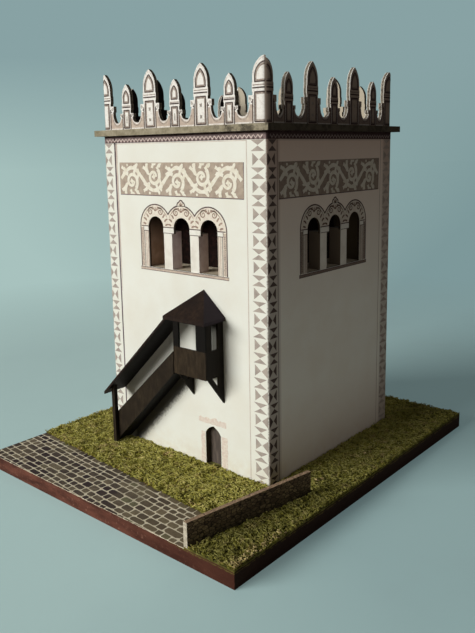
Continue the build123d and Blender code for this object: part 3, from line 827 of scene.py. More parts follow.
def frieze(ground, rule, motif, left, draw):
    """Panel of running leaf scrolls, pale on taupe."""
    ground.plate(rectangle(left, FRIEZE_RIGHT, FRIEZE_LOW, FRIEZE_HIGH), INK)
    rule.ribbon([(FRIEZE_RIGHT, FRIEZE_HIGH), (FRIEZE_RIGHT, FRIEZE_LOW), (left, FRIEZE_LOW)], 0.25, ON_INK)
    length = (FRIEZE_RIGHT - left - 1.6) / FRIEZE_LOBES
    axis = (FRIEZE_LOW + FRIEZE_HIGH) / 2
    stem = []
    for step in range(FRIEZE_LOBES * 12 + 1):
        share = step / 12
        stem.append((left + 0.8 + share * length, axis + 4.1 * math.sin(math.pi * share)))
    motif.ribbon(stem, [1.15 + 0.4 * abs(math.sin(step * 0.9)) for step in range(len(stem))], ON_INK)
    for lobe in range(FRIEZE_LOBES):
        up = 1 if lobe % 2 == 0 else -1
        scroll(motif, (left + 0.8 + (lobe + 0.5) * length, axis - up * 0.9), up, draw)
        corner = left + 0.8 + lobe * length
        for flip, heading, size in ((1, 25, 3.6), (-1, 20, 3.2)):
            root = (corner + 0.3, axis - up * flip * 4.4)
            spray(motif, root, size, heading * flip * up, 40 * flip * up, draw)
        for share in (0.3, 0.72):
            motif.plate(dot((corner + length * share, axis + up * 5.1), 0.5), ON_INK + 0.02)


def spray(motif, root, length, heading, bend, draw):
    """Curling frond: a tapered stroke with lobes along its outer side, kept inside the panel."""
    x, y = root
    hand = 1 if bend > 0 else -1
    angle = math.radians(heading)
    path = [(x, y)]
    for step in range(8):
        angle += math.radians(bend) / 8
        x, y = polar((x, y), length / 8, angle)
        path.append((x, within(y, 0.7)))
        if step in (2, 4, 6):
            size, lean = draw.uniform(1.2, 2.1), math.degrees(angle) - hand * 55
            outline = [(u, within(v, 0.3)) for u, v in leaf(path[-1], size, 1.05, lean, hand * 40, 1, 6)]
            motif.plate(outline, ON_INK + draw.uniform(0.004, 0.012))
    motif.ribbon(path, [1.3 - 0.1 * step for step in range(len(path))], ON_INK + draw.uniform(0.012, 0.018))


def within(height, margin):
    """A height kept inside the frieze's panel."""
    return min(max(height, FRIEZE_LOW + margin), FRIEZE_HIGH - margin)


def scroll(motif, centre, up, draw):
    """One curl of the frieze with its rosette and the fronds that spring from its back."""
    curl = spiral(centre, 3.4, 1.15, -50 * up, up, 0.36)
    motif.ribbon(curl, [1.5 - 0.6 * step / len(curl) for step in range(len(curl))], ON_INK + 0.003)
    for petal in range(4):
        outline = leaf(centre, 1.1, 0.8, petal * 90 + draw.uniform(-8, 8), 20, 1, 6)
        motif.plate(outline, ON_INK + 0.004 + 0.003 * petal)
    for turn, size, bend in CURL_FRONDS:
        root = polar(centre, 3.2, math.radians(turn * up))
        spray(motif, root, size * draw.uniform(0.85, 1.1), turn * up + 25 * up, bend * up, draw)


def bay_reach(angle, left_open, right_open):
    """From an arch's centre to the surround's outer edge, or to the middle of a mullion it shares."""
    c, s = math.cos(angle), math.sin(angle)
    reach = LOBE_LIFT * s + math.sqrt(max(LOBE_RADIUS ** 2 - (LOBE_LIFT * c) ** 2, 0))
    if (c > 0 and not right_open) or (c < 0 and not left_open):
        reach = min(reach, ARCH_PITCH / 2 / max(abs(c), 1e-6))
    return reach


def surround_outline():
    """Outer edge of the window surround from its left foot over the lobes to the right foot."""
    lift = IMPOST + LOBE_LIFT
    meet = math.degrees(math.acos(ARCH_PITCH / 2 / LOBE_RADIUS))
    points = [(-WINDOW_HALF, SILL)]
    points += arc((-ARCH_PITCH, lift), LOBE_RADIUS, 180, meet, 20)
    points += arc((0, lift), LOBE_RADIUS, 180 - meet, 103, 8)
    points += [(-1.95, lift + LOBE_RADIUS + 0.25), (-1.5, lift + LOBE_RADIUS + 1.0)]
    points += arc((0, lift + LOBE_RADIUS + 0.9), 0.95, 165, 15, 8)
    points += [(1.5, lift + LOBE_RADIUS + 1.0), (1.95, lift + LOBE_RADIUS + 0.25)]
    points += arc((0, lift), LOBE_RADIUS, 77, meet, 8)
    points += arc((ARCH_PITCH, lift), LOBE_RADIUS, 180 - meet, 0, 20)
    points += [(WINDOW_HALF, SILL)]
    return points


def jamb(hand, offset):
    """A place across, at an offset outwards from the outermost arch on one hand."""
    return hand * (ARCH_PITCH + ARCH_RADIUS + offset)


def window_field(piece):
    """Cream ground of the surround: one bay over each arch, then the jambs."""
    for bay, axis in enumerate((-ARCH_PITCH, 0, ARCH_PITCH)):
        rings = []
        for step in range(37):
            angle = math.pi * step / 36
            inner = polar((axis, IMPOST), ARCH_RADIUS + 0.02, angle)
            outer = polar((axis, IMPOST), bay_reach(angle, bay == 0, bay == 2), angle)
            rings.append([(*inner, UNDER), (*outer, UNDER), (*outer, INK), (*inner, INK)])
        piece.loft(rings)
    top = IMPOST + LOBE_LIFT + LOBE_RADIUS
    crest = [(-2.0, -0.35), (2.0, -0.35), (1.4, 1.0), (0, 1.75), (-1.4, 1.0)]
    piece.plate([(x, top + rise) for x, rise in crest], INK)
    for hand in (-1, 1):
        a, b = sorted((jamb(hand, 0.02), hand * WINDOW_HALF))
        piece.plate(rectangle(a, b, SILL, IMPOST), INK)


def window_lines(dark, beige, white, seed):
    """Outline, imposts, jamb mouldings and sill of the surround."""
    dark.ribbon(surround_outline(), 0.45, ON_INK)
    half = ARCH_PITCH / 2 - ARCH_RADIUS
    for axis in (-ARCH_PITCH / 2, ARCH_PITCH / 2):
        dark.ribbon([(axis - half, IMPOST + 0.25), (axis + half, IMPOST + 0.25)], 0.34, ON_INK)
        dark.ribbon([(axis - half, IMPOST - 1.85), (axis + half, IMPOST - 1.85)], 0.2, ON_INK)
        white.plate(rectangle(axis - half, axis + half, IMPOST - 1.72, IMPOST + 0.05), ON_INK)
    for hand in (-1, 1):
        near, far, deep, slim = (jamb(hand, offset) for offset in (0.05, 2.6, 2.35, 1.95))
        dark.ribbon([(jamb(hand, 0.02), IMPOST + 0.25), (jamb(hand, 3.7), IMPOST + 0.25)], 0.34, ON_INK)
        dark.ribbon([(near, IMPOST - 1.5), (far, IMPOST - 1.5), (far, IMPOST)], 0.25, ON_INK)
        dark.ribbon([(deep, IMPOST - 1.6), (deep, SILL)], 0.22, ON_INK)
        dark.ribbon([(slim, IMPOST - 1.6), (slim, SILL)], 0.1, ON_INK)
        draw = random.Random(seed)
        for step in range(22):
            z = SILL + 0.5 + step * 0.62
            tick = draw.uniform(0.25, 0.75)
            x = jamb(hand, 3.3 + draw.uniform(-0.35, 0.35))
            dark.ribbon([(x - tick / 2, z), (x + tick / 2, z + draw.uniform(-0.15, 0.15))], 0.13, ON_INK)
        for offset, wide in ((0.35, 0.5), (1.25, 0.3)):
            beige.ribbon([(jamb(hand, offset), SILL), (jamb(hand, offset), IMPOST - 1.65)], wide, ON_INK)
        beige.ribbon([(jamb(hand, 3.3), SILL + 0.2), (jamb(hand, 3.3), IMPOST - 0.3)], 1.1, INK + 0.008)
        a, b = sorted((jamb(hand, 0.02), jamb(hand, 2.45)))
        white.plate(rectangle(a, b, IMPOST - 1.35, IMPOST + 0.05), ON_INK)
    for level in (SILL - 0.22, SILL - 1.2):
        dark.ribbon([(-WINDOW_HALF - 0.7, level), (WINDOW_HALF + 0.7, level)], 0.2, ON_INK)
    beige.plate(rectangle(-WINDOW_HALF - 0.7, WINDOW_HALF + 0.7, SILL - 1.15, SILL - 0.25), INK)


def window_scrolls(piece):
    """Paired volutes over each arch, with flecks of leaf at the springing."""
    crest = IMPOST + LOBE_LIFT + LOBE_RADIUS
    for axis in (-ARCH_PITCH, 0, ARCH_PITCH):
        for hand in (-1, 1):
            centre = (axis + hand * 2.6, IMPOST + ARCH_RADIUS + 1.75)
            curl = spiral(centre, 1.65, 1.6, 90 + hand * 60, -hand, 0.15)
            piece.ribbon(curl, [0.55 - 0.25 * step / len(curl) for step in range(len(curl))], ON_INK)
            sweep = arc((axis, IMPOST + 0.6), 6.9, 90 - hand * 8, 90 - hand * 62, 12)
            piece.ribbon(sweep, [0.42 - 0.024 * step for step in range(len(sweep))], ON_INK)
            for turn, size in ((42, 1.9), (25, 2.1), (9, 1.8)):
                angle = math.radians(90 - hand * (90 - turn))
                root, heading = polar((axis, IMPOST), 5.2, angle), math.degrees(angle) + hand * 35
                piece.plate(leaf(root, size, 0.75, heading, -hand * 50, 2, 8), ON_INK)
        for offset in (-0.55, 0, 0.55):
            root = (axis + offset * 0.3, crest - 0.6 - 1.9)
            piece.plate(leaf(root, 1.7, 0.5, 90 - offset * 70, 0, 2, 6), ON_INK)
    for heading in (50, 90, 130):
        piece.plate(leaf((0, crest - 0.3), 1.5, 0.55, heading, 0, 2, 6), ON_INK)


def printed_wall(number, side):
    """The prints of one wall: those laid out from its middle, then those round its windows."""
    quoins, rules, seam, band, zigzag, dentils_and_cornice_shadow, *panel = walls = [
        Piece(side_frame(number), WALL_FOLD) for _ in WALL_INKS]
    quoin_cells(quoins, -HALF, -HALF + LEFT_STRIP, (0.6, 0.4), (0.3, 1.2))
    quoin_cells(quoins, HALF - RIGHT_STRIP, HALF, (1.8, 0.9), (2.4, 0.6))
    border_lines(rules, seam, side == "front")
    eaves_band(band, zigzag, dentils_and_cornice_shadow)
    frieze(*panel, FRIEZE_LEFT[side], random.Random(SEEDS["frieze"] + number))
    field, *trim, scrolls = windows = [Piece(window_frame(number, side)) for _ in WINDOW_INKS]
    window_field(field)
    window_lines(*trim, SEEDS["window"] + number)
    window_scrolls(scrolls)
    for pieces, inks in ((walls, WALL_INKS), (windows, WINDOW_INKS)):
        for piece, (name, finish) in zip(pieces, inks.items()):
            piece.make(f"{side}_{name}", finish)


# ---------------------------------------------------------------- printed parapet

FRONT_MERLONS = (13.9, 15.4)     # axes of the first and last small merlon from the strip's ends
SIDE_MERLONS = (11.7, 14.6)
CORNER_MERLONS = ((1.05, 4.55), (2.4, 4.1), (1.05, 4.55), (-1.9, 3.0))   # at each side's right fold
LARGE = {"half": 3.2, "tip": 20.7, "spring": 14.6, "band": (9.9, 12.6), "volute": (6.6, 8.8), "reach": 1.7,
         "head": (12.85, 18.8), "rule": 11.0, "inset": 0.95}
SMALL = {"half": 2.3, "tip": 16.4, "spring": 11.6, "band": (7.2, 9.3), "volute": (4.6, 5.9), "reach": 1.4,
         "head": (9.6, 14.1), "rule": 8.1, "inset": 0.8}
BETWEEN_CORNERS = 5
VALLEY = 2.4                     # height of the apron's lowest point
PARAPET_INKS = {
    "dark": INKS["merlon_ink"],
    "shade": INKS["merlon_shade"],
    "rim": INKS["merlon_rim"],
    "mark": INKS["smudge_ink"],
    "apron": INKS["apron_ink"],
}


def merlons(number, side):
    """(axis, half width, kind) of each merlon on one strip, from the fold on its left to its right."""
    first, last = FRONT_MERLONS if side in ("front", "back") else SIDE_MERLONS
    pitch = (2 * HALF - first - last) / (BETWEEN_CORNERS - 1)
    before, beyond = CORNER_MERLONS[number - 1], CORNER_MERLONS[number]
    row = [(-HALF - before[0], before[1], LARGE)]
    for step in range(BETWEEN_CORNERS):
        kind = LARGE if step % 2 else SMALL
        row.append((-HALF + first + step * pitch, kind["half"], kind))
    row.append((HALF - beyond[0], beyond[1], LARGE))
    return row


def pointed(axis, half, foot, spring, tip):
    """Closed outline of a pointed arch head on straight flanks."""
    right = [(axis + half, foot), (axis + half, spring)] + ogive(axis, half, spring, tip, 7)
    left = [(2 * axis - x, z) for x, z in right[:-1]]
    return right + left[::-1]


def ogive(axis, half, spring, tip, steps):
    """Points from near the springing to the tip along the right flank."""
    rise = tip - spring
    radius = (half ** 2 + rise ** 2) / (2 * half)
    full = math.atan2(rise, radius - half)
    points = []
    for number in range(1, steps + 1):
        x, z = polar((axis, spring), radius, full * number / steps)
        points.append((x - (radius - half), z))
    return points


def merlon_print(inks, merlon, draw):
    """Blind arch, waist rule, panel and volutes of one merlon."""
    axis, half, kind = merlon
    inset, (head_foot, head_tip) = kind["inset"], kind["head"]
    core = half - inset
    spring = kind["spring"] - 0.3
    blind = pointed(axis, core, head_foot, spring, head_tip)
    field = pointed(axis, core - 0.42, head_foot + 0.4, spring, head_tip - 0.7)
    rim = pointed(axis, half - 0.3, head_foot - 0.6, kind["spring"], kind["tip"] - 0.5)
    inks["dark"].stroke(blind, 0.42, ON_INK, closed=True)
    inks["shade"].stroke(field, 0.6, INK, closed=True)
    inks["rim"].stroke(rim[1:-1], 0.3, INK)
    for ink, gap, level, wide, high in (("dark", 0.05, kind["rule"], 0.45, ON_INK),
                                        ("shade", 0.1, head_foot - 1.0, 0.3, INK)):
        inks[ink].stroke([(axis - half + gap, level), (axis + half - gap, level)], wide, high)
    top = kind["band"][0] - 0.2
    panel = rectangle(axis - core, axis + core, 0.56, top)
    inks["dark"].stroke(panel, 0.42, ON_INK, closed=True)
    inner = [(axis + (x - axis) * (core - 0.4) / core, z + (0.42 if z < 1 else -0.42)) for x, z in panel]
    inks["shade"].stroke(inner, 0.55, INK, closed=True)
    if kind is LARGE and half == kind["half"]:
        for height in (3.1, 6.9):
            for petal in range(4):
                heading = petal * 90 + draw.uniform(30, 60)
                inks["mark"].plate(leaf((axis, height), 0.75, 0.5, heading, 0, 1, 5), INK)
    elif half == kind["half"]:
        inks["mark"].plate(leaf((axis, 2.2), 2.8, 0.6, 90 + draw.uniform(-4, 4), 0, 3, 8), INK)
    foot, head = kind["volute"]
    for hand in (-1, 1):
        x = axis + hand * (half - 0.08)
        inks["dark"].stroke([(x, 0.1), (x, foot + 1.0)], 0.36, ON_INK)
        inks["rim"].stroke([(x - hand * 0.36, 0.3), (x - hand * 0.36, head)], 0.24, ON_INK)
        knot = (axis + hand * (half + kind["reach"] * 0.5), (foot + head) / 2)
        if abs(knot[0]) < HALF - PARAPET_FOLD:
            inks["mark"].ribbon(spiral(knot, kind["reach"] * 0.36, 1.3, 90, -hand, 0.2, 14), 0.2, ON_INK)
            inks["dark"].plate(dot((knot[0] - hand * 0.5, foot + 0.1), 0.24), ON_INK)


def apron_print(inks, here, after):
    """Shaded field, pale rim and foot line of the apron between two merlons."""
    start, end = here[0] + here[1], after[0] - after[1]
    outer = (start + here[2]["reach"] - 0.5, end - after[2]["reach"] + 0.5)
    valley = (outer[0] + outer[1]) / 2
    rim = curve_down(outer[0], valley, here[2]["volute"][0])
    rim += curve_down(outer[1], valley, after[2]["volute"][0])[::-1][1:]
    under = [(x, z - 0.62) for x, z in rim]
    sides = [(start + 0.15, under[0][1]), (end - 0.15, under[-1][1])]
    foot = [(start + 0.15, 0.62), (end - 0.15, 0.62)]
    inks["apron"].plate([*foot, sides[1], *under[::-1], sides[0]], INK)
    inks["shade"].stroke([(x, z - 1.05) for x, z in rim[2:-2]], 0.4, ON_INK)
    inks["rim"].stroke([(x, z - 0.32) for x, z in rim], 0.4, ON_INK)
    inks["rim"].stroke([(start + 0.15, 0.32), (end - 0.15, 0.32)], 0.4, ON_INK)


def parapet_print(number, side):
    """The print on one merlon strip, folded on to the corner merlons."""
    inks = {name: Piece(side_frame(number, SLAB_HIGH.z), PARAPET_FOLD) for name in PARAPET_INKS}
    draw = random.Random(SEEDS["parapet"] + number)
    row = merlons(number, side)
    for merlon in row:
        merlon_print(inks, merlon, draw)
    for here, after in zip(row, row[1:]):
        apron_print(inks, here, after)
    for name, finish in PARAPET_INKS.items():
        inks[name].make(f"{side}_parapet_{name}", finish, "parapet_card")


def curve_down(start, valley, foot):
    """The apron's quarter ellipse from a volute down to the valley."""
    span, drop = valley - start, foot - VALLEY
    points = []
    for number in range(9):
        angle = math.pi / 2 * number / 8
        points.append((start + span * (1 - math.cos(angle)), foot - drop * math.sin(angle)))
    return points


# ---------------------------------------------------------------- door

DOOR_LAP = 1.0              # of the leaf's card behind the wall, round the recess


def door_print():
    """Blush of a worn stone surround round the blind door."""
    low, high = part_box("door_panel")
    centre = ((low.x + high.x) / 2 - TOWER.x) / MM
    half = (high.x - low.x) / MM / 2 - DOOR_LAP
    top = (high.z - GROUND) / MM - DOOR_LAP
    blush = Piece(side_frame(0))
    draw = random.Random(SEEDS["door"])
    for hand in (-1, 1):
        near, far = half + 0.25, half + (2.2 if hand < 0 else 3.2)
        outer = [(centre + hand * (far + draw.uniform(-0.25, 0.2)), 0.4 + step) for step in range(13)]
        blush.plate([(centre + hand * near, 0.4)] + outer + [(centre + hand * near, 12.4)], INK * 0.6)
    lintel = []
    for step in range(15):
        share = step / 14
        bump = 0.7 if 0.5 < share < 0.7 else 0
        lintel.append((centre - 7.0 + share * 13.4, top + 2.6 + draw.uniform(-0.35, 0.35) + bump))
    under = [(x, top + 0.75 + draw.uniform(-0.25, 0.15)) for x, z in lintel]
    blush.plate(lintel + under[::-1], INK * 0.6)
    blush.make("door_surround_trace", INKS["door_blush"])


# ---------------------------------------------------------------- street

GROUND_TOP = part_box("cobble_sheet")[1].z
KERB_ANGLE = -4.3
GROUT = 0.5                 # width of the joints
TURF_SPILL = 0.6            # how far the flock straggles over the paving
STREET_LOW, STREET_HIGH = (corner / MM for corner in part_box("cobble_sheet"))
LOW_WALL_LOW, LOW_WALL_HIGH = (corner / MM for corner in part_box("boundary_wall"))
LOW_WALL_CARD = 1.5
LOW_WALL_ANGLE = math.atan2(LOW_WALL_HIGH.x - LOW_WALL_LOW.x - 1.02 * LOW_WALL_CARD,
                            LOW_WALL_HIGH.y - LOW_WALL_LOW.y)
LOW_WALL_ACROSS = Vector((math.cos(LOW_WALL_ANGLE), -math.sin(LOW_WALL_ANGLE)))
KERB_SLOPE = math.tan(math.radians(KERB_ANGLE))


def kerb(x):
    """How far back the paving reaches at a place across the board."""
    return STREET_HIGH.y + (x - STREET_LOW.x) * KERB_SLOPE


def joint(x, depth):
    """The same for a swaying joint between two courses, a depth in front of the kerb."""
    return kerb(x) - depth + 0.25 * math.sin((x - STREET_LOW.x) / 9 + depth / 5)


def wall_offset(x, y):
    """How far a plan point lies to the right of the low wall's left face."""
    return (Vector((x, y)) - LOW_WALL_LOW.xy).dot(LOW_WALL_ACROSS)


def stone(piece, points, high, draw, planes):
    """Flat stone with softened corners and a small bevel, cut off at the street's edges."""
    soft = []
    for number, point in enumerate(points):
        before, after = points[number - 1], points[(number + 1) % len(points)]
        cut = draw.uniform(0.12, 0.27)
        for x, y in (before, after):
            soft.append((point[0] + (x - point[0]) * cut * 0.6, point[1] + (y - point[1]) * cut))
    soft = clip([(x + draw.uniform(-0.08, 0.08), y + draw.uniform(-0.06, 0.06)) for x, y in soft], planes)
    if len(soft) < 3 or abs(area(soft)) < 0.15:
        return
    cx = sum(x for x, y in soft) / len(soft)
    cy = sum(y for x, y in soft) / len(soft)
    inner = [(cx + (x - cx) * 0.93, cy + (y - cy) * 0.9) for x, y in soft]
    layers = ((soft, UNDER), (soft, high * 0.5), (inner, high))
    piece.loft([[(x, y, level) for x, y in outline] for outline, level in layers])


def cobbles():
    """Courses of printed stones along the kerb, cut off at the sheet's edges."""
    piece = Piece(Matrix.Translation((0, 0, GROUND_TOP)) @ Matrix.Scale(MM, 4))
    draw = random.Random(SEEDS["street"])
    planes = [(-1, 0, -STREET_LOW.x), (0, -1, -STREET_LOW.y), (-KERB_SLOPE, 1, kerb(0)),
              (*LOW_WALL_ACROSS, LOW_WALL_ACROSS.dot(LOW_WALL_LOW.xy))]
    depth = -0.6
    while depth < STREET_HIGH.y - STREET_LOW.y + 6:
        height = draw.choice((2.3, 2.6, 2.9, 3.1, 3.6))
        x = STREET_LOW.x - draw.uniform(0.5, 2.5)
        while x < STREET_HIGH.x + 2:
            width = draw.uniform(2.2, 4.4) if draw.random() < 0.75 else draw.uniform(4.6, 7.2)
            front = depth + height - GROUT
            corners = [(x, joint(x, front)), (x + width, joint(x + width, front)),
                       (x + width, joint(x + width, depth)), (x, joint(x, depth))]
            stone(piece, corners, 0.08, draw, planes)
            x += width + GROUT * draw.uniform(0.8, 1.2)
        depth += height
    piece.make("cobble_stones", cobble_finish(), "cobble_print")


# ---------------------------------------------------------------- turf

PEBBLES = ((52.9, 11.4), (61.6, -52.8), (51.7, -15.1), (50.8, -17.2))   # bits lost in the flock


def on_street(x, y):
    """Whether a plan point lies on the paving, clear of the flock that straggles over its edge."""
    spill = max(0.1, TURF_SPILL * (1 + 1.4 * tuft(x, y)))
    return y < kerb(x) - spill and wall_offset(x, y) < -0.15


def on_turf(x, y):
    """Whether a plan point lies on open turf, clear of the street, the tower and the low wall."""
    if abs(x) > EDGE_X or abs(y) > EDGE_Y or on_street(x, y):
        return False
    if abs(x - TOWER.x / MM) < HALF + 0.15 and abs(y - TOWER.y / MM) < HALF + 0.15:
        return False
    beside = LOW_WALL_LOW.y - 1 < y < LOW_WALL_HIGH.y
    return not (beside and -0.1 < wall_offset(x, y) < LOW_WALL_CARD + 0.1)


def tuft(x, y):
    """Height of the flock's clumps over a plan point, about -1 to 1."""
    return noise.noise(Vector((x / 2.6, y / 2.6, 3.7))) + 0.5 * noise.noise(Vector((x / 1.1, y / 1.1, 9.1)))


def scatter(seed, spacing, bare=-2.0):
    """Jittered grid of places on the turf, left out where the clumps are lower than bare."""
    draw = random.Random(seed)
    places = []
    y = -EDGE_Y
    while y < EDGE_Y:
        x = -EDGE_X
        while x < EDGE_X:
            px, py = x + draw.uniform(0, spacing), y + draw.uniform(0, spacing)
            if on_turf(px, py) and tuft(px, py) > bare + draw.uniform(-0.25, 0.25):
                places.append((px, py))
            x += spacing
        y += spacing
    return places


def crumb_mesh(name, places, sizes, lift, finish, seed):
    """Many small irregular eight-sided crumbs in one mesh, none past the board's edge."""
    draw = np.random.default_rng(seed)
    template = np.array([(1, 0, 0), (0, 1, 0), (-1, 0, 0), (0, -1, 0), (0, 0, 1), (0, 0, -1)], dtype=float)
    sides = [(side, (side + 1) % 4) for side in range(4)]
    faces = np.array([(a, b, 4) for a, b in sides] + [(b, a, 5) for a, b in sides])
    count = len(places)
    base = np.array([(x, y, 0.0) for x, y in places])
    radius = draw.uniform(*sizes, (count, 1, 1))
    lumps = template[None] + draw.uniform(-0.45, 0.45, (count, len(template), 3))
    lumps *= radius * draw.uniform((0.6, 0.6, 0.4), (1.4, 1.4, 0.9), (count, 1, 3))
    base[:, 2] = draw.uniform(*lift, count) + 0.35 * np.array([tuft(x, y) for x, y in places])
    points = (lumps + base[:, None]).reshape(-1, 3)
    edge = np.array((EDGE_X, EDGE_Y)) - 0.02
    points[:, :2] = np.clip(points[:, :2], -edge, edge)
    points = points * MM + np.array((0, 0, GROUND))
    offsets = np.arange(count)[:, None, None] * len(template)
    triangles = (faces[None] + offsets).reshape(-1, 3)
    add_piece(name, points, triangles.tolist(), finish)


def fibre_mesh(name, places, finish, seed):
    """Short bent fibres lying over the crumbs, each a thin three-sided strand."""
    draw = random.Random(seed)
    piece = Piece(Matrix.Translation((0, 0, GROUND)) @ Matrix.Scale(MM, 4))
    for x, y in places:
        heading, length = draw.uniform(0, TURN), draw.uniform(1.0, 2.7)
        lift, bend = draw.uniform(0.2, 0.8) + 0.5 * tuft(x, y), draw.uniform(-0.9, 0.9)
        thick = draw.uniform(0.07, 0.14)
        rings = []
        for step in range(4):
            share = step / 3
            turn = heading + bend * share
            px = x + length * (share - 0.5) * math.cos(turn)
            py = y + length * (share - 0.5) * math.sin(turn)
            pz = 0.35 + lift * math.sin(math.pi * (0.15 + 0.7 * share))
            half = thick * (1 - 0.5 * share)
            ax, ay = -math.sin(turn) * half, math.cos(turn) * half
            rings.append([(px + ax, py + ay, pz), (px - ax, py - ay, pz), (px, py, pz + half)])
        if all(on_turf(point[0], point[1]) for ring in rings for point in ring):
            piece.loft(rings)
    piece.make(name, finish, "turf_flock")


def edge_straw(seed):
    """Dry bits along the right edge of the board, near the front corner."""
    draw = random.Random(seed)
    places = []
    for _ in range(90):
        x = EDGE_X - draw.uniform(0, 2.6)
        places.append((x, BOARD_LOW.y / MM + draw.uniform(0, 32) * draw.uniform(0.3, 1)))
    return places


def turf():
    """Three layers of crumbs and one of fibres, each its own green, with the bits lost among them."""
    deep = turf_finish("turf_deep", (96, 92, 34), (148, 142, 60), (140, 112, 64))
    mid = turf_finish("turf_mid", (124, 119, 45), (180, 174, 80), (172, 144, 88))
    bright = turf_finish("turf_bright", (156, 150, 62), (212, 204, 116), (216, 194, 138))
    pale = turf_finish("turf_pale", (168, 162, 72), (226, 218, 136), (226, 200, 146))
    low, between, top, fibres, pebbles, bits = range(SEEDS["turf"], SEEDS["turf"] + 6)
    crumb_mesh("turf_crumbs_low", scatter(low, 0.95), (0.4, 0.8), (0.0, 0.25), deep, low)
    crumb_mesh("turf_crumbs_mid", scatter(between, 0.85), (0.26, 0.6), (0.2, 0.6), mid, between)
    crumb_mesh("turf_crumbs_top", scatter(top, 0.95, 0.0), (0.16, 0.45), (0.45, 0.95), bright, top)
    fibre_mesh("turf_fibres", scatter(fibres, 0.9, -0.25), pale, fibres)
    straw = paper("turf_straw", (206, 186, 132), (150, 132, 78), patch=1.0)
    crumb_mesh("turf_pebbles", PEBBLES, (0.9, 1.2), (1.3, 1.5), straw, pebbles)
    crumb_mesh("turf_straw", edge_straw(bits), (0.2, 0.5), (0.5, 1.2), straw, bits)


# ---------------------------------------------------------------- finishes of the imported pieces

def dress(names, finish):
    for name in names:
        node = frame["nodes"][name]
        node.data.materials.clear()
        node.data.materials.append(finish)


BALCONY_RAIL = 45.9         # above the turf; the posts over it carry a painted shadow of the roof


def dress_nodes():
    """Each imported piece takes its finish."""
    panel = timber_finish("timber_panel", (38, 31, 23), (62, 53, 39), (25, 21, 17))
    parapet = timber_finish("timber_parapet", (42, 34, 24), (70, 58, 42), (25, 21, 17), BALCONY_RAIL)
    roof = timber_finish("timber_roof", (34, 25, 22), (58, 44, 33), (46, 37, 46))
    timber = [name for name in frame["nodes"] if name.startswith(("balcony_", "bracket_", "stair_"))]
    dress([f"{side}_wall" for side in SIDES], wall_finish())
    dress([f"{side}_parapet" for side in SIDES], parapet_finish())
    dress([f"{side}_niche" for side in SIDES], niche_finish())
    dress([f"{side}_pier_{hand}" for side in SIDES for hand in ("left", "right")], pier_finish())
    dress(["cornice_slab"], slab_finish())
    dress([name for name in timber if not name.endswith("_roof")], panel)
    dress([name for name in timber if name.endswith("_roof")], roof)
    dress(["balcony_front_panel"], parapet)
    dress(["door_panel"], door_finish())
    dress(["base_board"], board_finish())
    dress(["cobble_sheet"], grout_finish())
    dress(["boundary_wall"], rubble_finish())
    dress(["turf_mat"], turf_finish("turf_soil", (84, 82, 32), (124, 120, 52), (116, 94, 56), skirt=True))


# ---------------------------------------------------------------- studio

BACKDROP_LEFT = (168, 194, 190)
BACKDROP_RIGHT = (125, 152, 154)
BACKDROP_HEAD = (136, 162, 164)
BACKDROP_ACROSS = (0.757, 0.653, 0.0)        # from the lit side of the sheet to the far one
FLOOR_RADIUS = 6.0
FLOOR_GAP = 0.0001          # between the floor and the board's underside
EVEN_LIGHT = 0.055          # strength of the light from all around
LAMPS = {                   # direction, distance, size in metres, power in watts
    "key": ((-0.39, -0.91, 0.37), 2.6, (1.7, 0.8), 67.0),
    "fill": ((0.94, -0.16, 0.30), 2.0, (1.6, 1.6), 2.6),
}
LAMP_COLOUR = (1.0, 0.985, 0.95)
AIM_HEIGHT = 0.06           # of the point on the tower's axis that the lamps look at


def floor():
    """Pale sheet that catches the shadow near the model and fades into the backdrop's colour."""
    mesh = bpy.data.meshes.new("floor")
    shape = bmesh.new()
    bmesh.ops.create_circle(shape, cap_ends=True, radius=FLOOR_RADIUS, segments=64)
    shape.to_mesh(mesh)
    shape.free()
    sheet = in_scene("floor", mesh)
    sheet.location.z = BOARD_LOW.z - FLOOR_GAP
    made = Finish("studio_floor", 0.9)
    ray = made.camera_ray()
    reach = made.vector("LENGTH", made.place)
    across = made.vector("DOT_PRODUCT", made.place, BACKDROP_ACROSS)
    bounce = made.mix(reach.up(0.12, 0.45), (190, 186, 176), (92, 84, 80))
    made.coat((208, 246, 248), across.up(-0.25, 0.3), under=(208, 237, 236))
    made.coat((204, 235, 236), made.noise(40.0, 3.0).up(0.5, 0.9))
    made.feed(made.shader.inputs["Base Color"], made.mix(ray, bounce, made.tone))
    made.shader.inputs["Specular IOR Level"].default_value = 0.0
    glow = made.node("ShaderNodeEmission")
    made.feed(glow.inputs["Color"], made.mix((across / reach).up(-0.4, 0.4), BACKDROP_LEFT, BACKDROP_RIGHT))
    far = reach.up(0.06, 0.42).math("MAXIMUM", 0.34)
    made.joined(far * ray, made.shader, glow, "Material Output")
    mesh.materials.append(made.material)


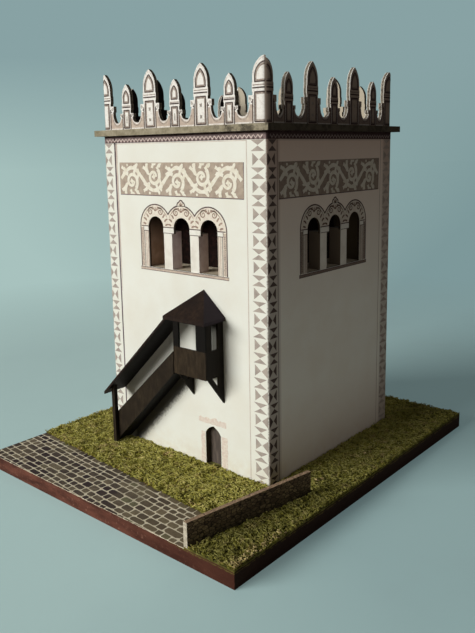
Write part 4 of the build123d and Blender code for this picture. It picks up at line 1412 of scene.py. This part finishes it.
def world():
    """Soft even light; the camera sees a backdrop that darkens upwards and across."""
    studio = bpy.context.scene.world = bpy.data.worlds.new("studio")
    studio.use_nodes = True
    made = Nodes(studio.node_tree)
    light = made.tree.nodes["Background"]
    light.inputs["Color"].default_value = (1.0, 0.94, 0.89, 1.0)
    light.inputs["Strength"].default_value = EVEN_LIGHT
    heading = made.node("ShaderNodeTexCoord").outputs["Generated"]
    across = made.vector("DOT_PRODUCT", heading, BACKDROP_ACROSS)
    sheet = made.mix(across.up(-0.4, 0.4), BACKDROP_LEFT, BACKDROP_RIGHT)
    sheet = made.mix(made.part(heading, "Z").up(-0.02, 0.125), sheet, BACKDROP_HEAD)
    seen = made.node("ShaderNodeBackground")
    made.feed(seen.inputs["Color"], sheet)
    made.joined(made.camera_ray(), light, seen, "World Output")


def lamp(name, towards, distance, size, power):
    """Soft oblong lamp standing off along a direction and looking at the tower."""
    data = bpy.data.lights.new(name, "AREA")
    data.shape = "RECTANGLE"
    data.size, data.size_y = size
    data.energy = power
    data.color = LAMP_COLOUR
    made = in_scene(name, data)
    made.location = TOWER + Vector((0, 0, AIM_HEIGHT)) + Vector(towards).normalized() * distance
    made.rotation_mode = "QUATERNION"
    made.rotation_quaternion = Vector(towards).to_track_quat("Z", "Y")


CAMERA_PLACE = (0.17893, -0.20604, 0.11943)
CAMERA_YAW = 40.761          # turned left from straight back
CAMERA_PITCH = 9.948         # looking down
CAMERA_ROLL = -0.981
CAMERA_LENS = 53.25          # millimetres, like the sensor
CAMERA_SHIFT = -0.0904       # share of the sensor's width
SENSOR_WIDTH = 36.0


def camera():
    """The photograph's camera."""
    data = bpy.data.cameras.new("camera")
    data.sensor_fit = "HORIZONTAL"
    data.sensor_width = SENSOR_WIDTH
    data.lens = CAMERA_LENS
    data.shift_y = CAMERA_SHIFT
    data.clip_start, data.clip_end = 0.01, 20.0
    made = in_scene("camera", data)
    yaw, pitch, roll = (math.radians(value) for value in (CAMERA_YAW, CAMERA_PITCH, CAMERA_ROLL))
    forward = Vector((-math.sin(yaw) * math.cos(pitch), math.cos(yaw) * math.cos(pitch), -math.sin(pitch)))
    level = Vector((math.cos(yaw), math.sin(yaw), 0))
    up = level.cross(forward)
    right = math.cos(roll) * level + math.sin(roll) * up
    up = right.cross(forward)
    turn = Matrix((right, up, -forward)).transposed()
    made.matrix_world = Matrix.Translation(CAMERA_PLACE) @ turn.to_4x4()
    bpy.context.scene.camera = made


# ---------------------------------------------------------------- the whole

dress_nodes()
for number, side in enumerate(SIDES):
    printed_wall(number, side)
    parapet_print(number, side)
door_print()
cobbles()
turf()
floor()
world()
for name, values in LAMPS.items():
    lamp(name, *values)
camera()
bpy.context.scene.view_settings.view_transform = "Standard"
